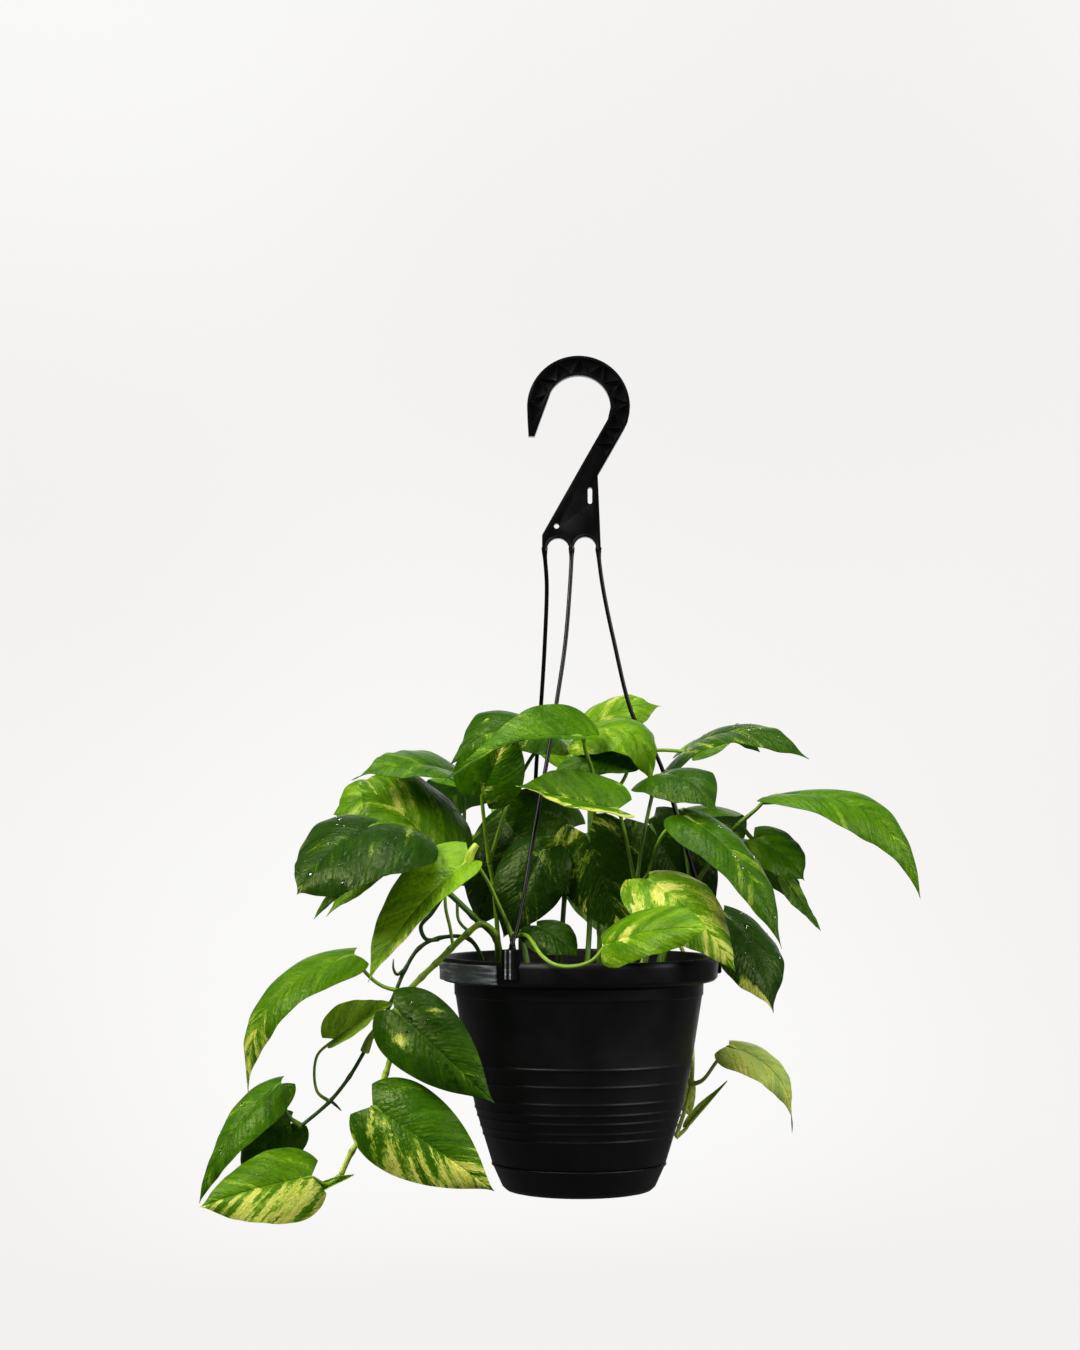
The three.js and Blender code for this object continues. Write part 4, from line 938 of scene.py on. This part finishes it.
def build_pot():
    mesh = Builder()
    outside = [(0, -571), (51.5, -571), (54.5, -569.5), (58.9, -565), (59.2, -562.3), (62, -562.3)]
    for z, rise in WALL_RINGS:
        r = wall_radius(z) + rise
        low, high = z - 1.1, z + 1.1
        outside += [(wall_radius(low), low), (r, z - 0.5), (r, z + 0.2), (wall_radius(high), high)]
    # Under the brim a shallow step runs round, and the brim rolls out over it.
    outside += [(wall_radius(-444.2), -444.2), (wall_radius(-443) + 0.6, -443.4)]
    outside += [(wall_radius(-442) + 0.6, -435.6)]
    brim = [(90.4, -435), (96.5, -433.6), (99, -431.4), (100, -420), (98.8, -417), (97, -416.3),
            (95.2, -417.5), (88.8, -430), (87.7, -435)]
    inside = [(79.1, -489.6), (60, -562), (57, -564), (50.5, -569), (0, -569)]
    mesh.add(*lathe(fillet(outside + brim + inside, 0.9), ROUND))
    for angle in LUGS.values():
        for out, aside, size, chamfer, material in LUG_BARS:
            c = rim_place(angle, LUG_RADIUS + out, LUG_TOP - LUG_HEIGHT / 2, aside)
            mesh.add(*box(c, size, angle, chamfer), material)
    # A small moulding spur stands on the brim, right of the front lug.
    mesh.add(*box(rim_place(255, 99.6, -428), (1.4, 0.9, 5), 255, 0.3))
    panel = [rim_place(a, r, z) for a in np.linspace(*PANEL_ARC, PANEL_STEPS + 1) for r, z in PANEL_SECTION]
    n = len(PANEL_SECTION)
    rings = [ring(i * n, n) for i in range(PANEL_STEPS + 1)]
    mesh.add(panel, skin(rings, flip=True) + [tuple(rings[0]), tuple(rings[-1][::-1])], 1)
    mesh.make("pot_moulded", [POT, PANEL_WITH_PAINTED_REFLECTION], ["pot"], 32)


def build_saucer():
    mesh = Builder()
    profile = [(0, -581.4), (20, -581.4), (21, -582.6), (23, -582.6), (24, -581.4), (40, -581.4),
               (41.5, -583), (47, -583), (51.5, -582), (54.6, -579.2), (61.2, -564.6), (62.3, -564.2),
               (62.3, -562.9), (61.8, -562.6), (59.9, -562.6), (59.5, -565.5), (57.2, -570), (52.6, -579.5),
               (50, -580.8), (0, -580.8)]
    mesh.add(*lathe(fillet(profile, 0.7), ROUND))
    mesh.make("saucer_moulded", [POT], ["saucer"], 32)


def lumpiness(r):
    """1 over most of the soil, and 0 at the pot's wall."""
    return 1 - smooth((r - 74) / 12)


def soil_height(x, y, r):
    """The mix is heaped against the front left of the rim, and lumpy except at the wall."""
    mound = 13 * math.exp(-((x + 60) ** 2 + (y + 40) ** 2) / 25**2)
    lump = 2.5 * (math.sin(x / 9 + 1) * math.cos(y / 11) + 0.5 * math.sin((x + y) / 6))
    return SOIL_TOP + mound + lump * lumpiness(r)


def build_soil(rng):
    mesh = Builder()
    segments, circles = 120, 52
    verts, rings = [], []
    for r in np.linspace(0, SOIL_RADIUS, circles + 1):
        lumpy = lumpiness(r)
        rings.append(ring(len(verts), segments) if r else [0] * segments)
        for x, y, _ in circle(r, 0, segments if r else 1):
            rough = 1.5 * noise.fractal(Vector((x / 7, y / 7, 0.3)), 0.9, 2.1, 4)
            rough = rough * (0.35 + 0.65 * lumpy) - 0.6 * (1 - lumpy)
            verts.append((x, y, soil_height(x, y, r) + rough))
    for z, r in ((-489.6, 78.6), (-561.5, 59.3), (-568.5, 50)):
        rings.append(ring(len(verts), segments))
        verts += circle(r, z, segments)
    mesh.add(verts, skin(rings, flip=True) + [tuple(rings[-1][::-1])])
    # Chips lie on top: flakes of bark, and some beads of perlite.
    for _ in range(CHIPS):
        r, a = 84 * math.sqrt(rng.random()), rng.random() * 360
        p = rim_place(a, r, 0)
        p[2] = soil_height(p[0], p[1], r) + 0.4
        if rng.random() < PERLITE_SHARE:
            size = [rng.uniform(1.0, 2.6)] * 3
            kind, bevel = 2, 0.4 * size[0]
        else:
            size = (rng.uniform(2, 8), rng.uniform(1.5, 4), rng.uniform(0.8, 2))
            kind, bevel = 1, 0.4
        v, f = box((0, 0, 0), size, rng.random() * 360, bevel)
        tilt = rng.uniform(-0.5, 0.5)
        c, s = math.cos(tilt), math.sin(tilt)
        v = v @ np.array([[1, 0, 0], [0, c, s], [0, -s, c]])
        v = v * (1 + 0.12 * np.sin(v[:, [1, 2, 0]] * 2.1 + r))
        mesh.add(v + p, f, kind)
    mesh.make("soil_filled", [SOIL, BARK, PERLITE], ["soil"], 30)


# Hanger
STRANDS = {
    "back": [(-24.4, 0, -128), (-22.9, 8, -150), (-24.3, 20, -193), (-27.2, 37, -240), (-30, 48, -275),
             (-33, 68, -340), (-36, 85, -396)],
    "front": [(-5, 0, -128), (-5.7, -4, -144), (-9.6, -20, -193), (-15.6, -33, -234), (-22.5, -46, -276),
              (-32, -61, -328), (-38.5, -73, -368), (-44.5, -82, -398)],
    "right": [(14.3, 0, -128), (17, 0, -150), (24.8, -1, -189), (39.3, -2, -246), (50.8, -2, -264),
              (59.7, -2, -283), (72.6, -3, -325), (84.8, -2, -365), (93.5, -1, -395)],
}
FOOT_ARCHES = [(4.6, -124.5), (-14.7, -125.5)]  # the centres of the two arches at the plate's foot
HALF_PLATE = 4.5
HOOK_Z, HOOK_OUTER, HOOK_INNER = -23, 37, 23  # the hook's centre and its two radii
# The zigzag ribs: degrees from one to the next round the bend, then millimetres down the shank.
FIRST_RIB, RIB_TURN, BEND_RIBS, RIB_DROP = 158, 14, 12, 6.5
SHANK_START, SHANK_WAY = (26.95, -35.39), (-0.4955, -0.8685)


def arc(cx, cz, r, start, end, steps):
    return [(cx + r * math.cos(math.radians(a)), cz + r * math.sin(math.radians(a)))
            for a in np.linspace(start, end, steps)]


def hook_outline():
    """The hook and plate in the XZ plane, clockwise from the hook's point."""
    points = [(-36, -44), (-36.6, -34)]
    points += arc(0, HOOK_Z, HOOK_OUTER, 180, 0, 73)
    points += [(36.6, -28), (35.2, -34), (32.5, -39.5), (13.8, -72.3), (15, -100), (16, -126), (12.6, -126)]
    points += arc(*FOOT_ARCHES[0], 8, 0, 180, 21)
    points += [(-3.4, -126), (-6.7, -126)]
    points += arc(*FOOT_ARCHES[1], 8, 0, 180, 21)
    points += [(-22.7, -126), (-26.2, -126), (-26.2, -115.3), (5, -60), (21, -32)]
    points += arc(0, HOOK_Z, HOOK_INNER, 0, 150, 61)
    points += [(-31.6, -44)]
    return points


def band_place(step, side):
    """A place between the hook's flanges, `step` ribs from the first one: `side` is -1 at the inner
    flange and 1 at the outer one."""
    if step <= BEND_RIBS:
        angle = math.radians(FIRST_RIB - RIB_TURN * step)
        narrowed = 1.1 * max(0.0, -step) if side < 0 else 0  # the hook is narrower near its point
        radius = (HOOK_OUTER + HOOK_INNER) / 2 + 5 * side + narrowed
        return radius * math.cos(angle), HOOK_Z + radius * math.sin(angle)
    down, out = RIB_DROP * (step - BEND_RIBS - 1), 4.85 * side
    (x, z), (way_x, way_z) = SHANK_START, SHANK_WAY
    return x + way_x * down - way_z * out, z + way_z * down + way_x * out


def slab(outline, low, high):
    """A flat prism of the outline between two depths, its faces turned outwards."""
    n = len(outline)
    area = sum(x0 * z1 - x1 * z0 for (x0, z0), (x1, z1) in zip(outline, outline[1:] + outline[:1]))
    if area > 0:
        outline = outline[::-1]
    verts = [(x, y, z) for y in (low, high) for x, z in outline]
    near, far = ring(0, n), ring(n, n)
    return verts, skin([near, far]) + [tuple(near[::-1]), tuple(far)]


def throwaway(name, parts):
    """A throwaway object in millimetres."""
    mesh = Builder()
    for part in parts:
        mesh.add(*part)
    return new_object(name, np.vstack(mesh.verts), mesh.faces)


def hook_cutters():
    """The pockets between the zigzag ribs, on both faces, and the plate's slot and small hole."""
    cutters = []
    for i in range(-2, 17):
        foot = 1 if i % 2 == 0 else -1
        corners = ((-0.88, foot), (-0.3, foot), (0.3, foot), (0.88, foot), (0.02, -foot), (-0.02, -foot))
        shape = [band_place(i + step, side) for step, side in corners]
        cutters += [slab(shape, 1.5, 6), slab(shape, -6, -1.5)]
    slot = arc(8.2, -82.6, 1.6, 0, 180, 13) + arc(8.2, -91.4, 1.6, 195, 345, 11)
    hole = arc(-15.8, -108.9, 1.9, 0, 345, 24)
    return cutters + [slab(slot, -8, 8), slab(hole, -8, 8)]


def build_hanger():
    body = throwaway("hook_body", [slab(hook_outline(), -HALF_PLATE, HALF_PLATE)])
    knife = throwaway("hook_knife", hook_cutters())
    cut = body.modifiers.new("pockets", "BOOLEAN")
    cut.operation, cut.solver, cut.object = "DIFFERENCE", "MANIFOLD", knife
    round_off = body.modifiers.new("edges", "BEVEL")
    round_off.width, round_off.segments, round_off.limit_method = 0.45, 2, "ANGLE"
    round_off.angle_limit = math.radians(40)
    bpy.context.view_layer.update()
    shaped = bpy.data.meshes.new_from_object(body.evaluated_get(bpy.context.evaluated_depsgraph_get()))
    verts = np.array([v.co for v in shaped.vertices])
    faces = [tuple(p.vertices) for p in shaped.polygons]
    for ob in (body, knife):
        bpy.data.objects.remove(ob)

    mesh = Builder()
    mesh.add(verts, faces)
    # A rounded bead follows the two arches at the plate's foot, on both faces.
    for cx, cz in FOOT_ARCHES:
        for y in (-4.0, 4.0):
            line = [(x, y, z) for x, z in arc(cx, cz, 9.1, -8, 188, 33)]
            mesh.add(*tube(line, 1.15, 8))
    # A small round stub stands on the plate's front.
    mesh.add(*tube([(1.3, -4.2, -98.5), (1.3, -4.9, -98.5)], [0.9, 0.7], 16))
    for name, table in STRANDS.items():
        angle = LUGS[name]
        points = [np.array([table[0][0], 0, -124.0])] + [seen(p) for p in table]
        points += [rim_place(angle, LUG_RADIUS, LUG_TOP + 3), rim_place(angle, LUG_RADIUS, LUG_TOP)]
        line, run = path(points, 2.5)
        radius = 1.5 + 0.8 * np.exp(-((run / 5.0) ** 2)) + 0.5 * np.exp(-(((run[-1] - run) / 4.0) ** 2))
        mesh.add(*tube(line, radius, 12))
        mesh.add(*box(rim_place(angle, LUG_RADIUS, LUG_TOP + 1 - CLIP[2] / 2), CLIP, angle, 0.5))
    mesh.make("hanger_moulded", [HANGER],
              ["hanger_hook", "hanger_strand_back", "hanger_strand_front", "hanger_strand_right"], 35)


rng = random.Random(7)
build_pot()
build_saucer()
build_soil(rng)
build_hanger()
drops = Builder()
for vine in VINES:
    build_vine(vine, rng)
    for leaf in vine["leaves"]:
        add_drops(drops, leaf, rng)
drops.make("water_drops", [WATER], (), 60)


# Stage, light, camera
FLOOR_LEVEL, FLOOR_RADIUS, CURVE, BACKDROP_TOP = -1300, 4200, 1500, 4500
CROWN = (0, 0, -0.35)  # every light points at the middle of the leaves
SENSOR, LENS = 36.0, 96.7
TILT, PAN = 2.427, 0.764


def stage():
    """A pale floor that curves up into a wall all round, seen only by the camera."""
    curve = [(FLOOR_RADIUS + CURVE * math.sin(a), FLOOR_LEVEL + CURVE * (1 - math.cos(a)))
             for a in np.linspace(0.1, math.pi / 2, 16)]
    flat = [(0, FLOOR_LEVEL), (FLOOR_RADIUS, FLOOR_LEVEL)]
    verts, faces = lathe(flat + curve + [(FLOOR_RADIUS + CURVE, BACKDROP_TOP)], 96)
    ob = new_object("floor", verts * MM, faces)
    ob.data.materials.append(stage_material())
    ob.data.shade_smooth()
    ob.visible_diffuse = ob.visible_glossy = ob.visible_transmission = ob.visible_shadow = False


def area_light(name, place, size, power, colour=(1, 1, 1)):
    data = bpy.data.lights.new(name, "AREA")
    data.shape, data.size, data.energy, data.color = "DISK", size, power, colour
    ob = bpy.data.objects.new(name, data)
    ob.location = place
    ob.rotation_euler = (Vector(CROWN) - Vector(place)).to_track_quat("-Z", "Y").to_euler()
    bpy.context.collection.objects.link(ob)


stage()
world = bpy.data.worlds.new("studio")
bpy.context.scene.world = world
world.use_nodes = True
sky = world.node_tree.nodes["Background"].inputs
sky["Color"].default_value = (0.95, 0.97, 1.0, 1)
sky["Strength"].default_value = 0.13
area_light("key", (-1.5, -1.2, 1.3), 1.2, 80, (1.0, 0.985, 0.95))
area_light("fill", (1.9, -1.0, 0.5), 1.4, 40)
area_light("top", (0.1, -0.2, 1.9), 1.2, 34)
area_light("behind", (0.2, 2.3, -0.1), 2.2, 14)

camera_data = bpy.data.cameras.new("camera")
camera_data.sensor_fit, camera_data.sensor_width = "HORIZONTAL", SENSOR
camera_data.lens = LENS
camera_data.clip_end = 40
camera = bpy.data.objects.new("camera", camera_data)
camera.location = (0, -EYE_DISTANCE * MM, EYE_HEIGHT * MM)
camera.rotation_euler = (math.radians(90 + TILT), 0, math.radians(PAN))
bpy.context.collection.objects.link(camera)
bpy.context.scene.camera = camera
bpy.context.scene.view_settings.view_transform = "Standard"
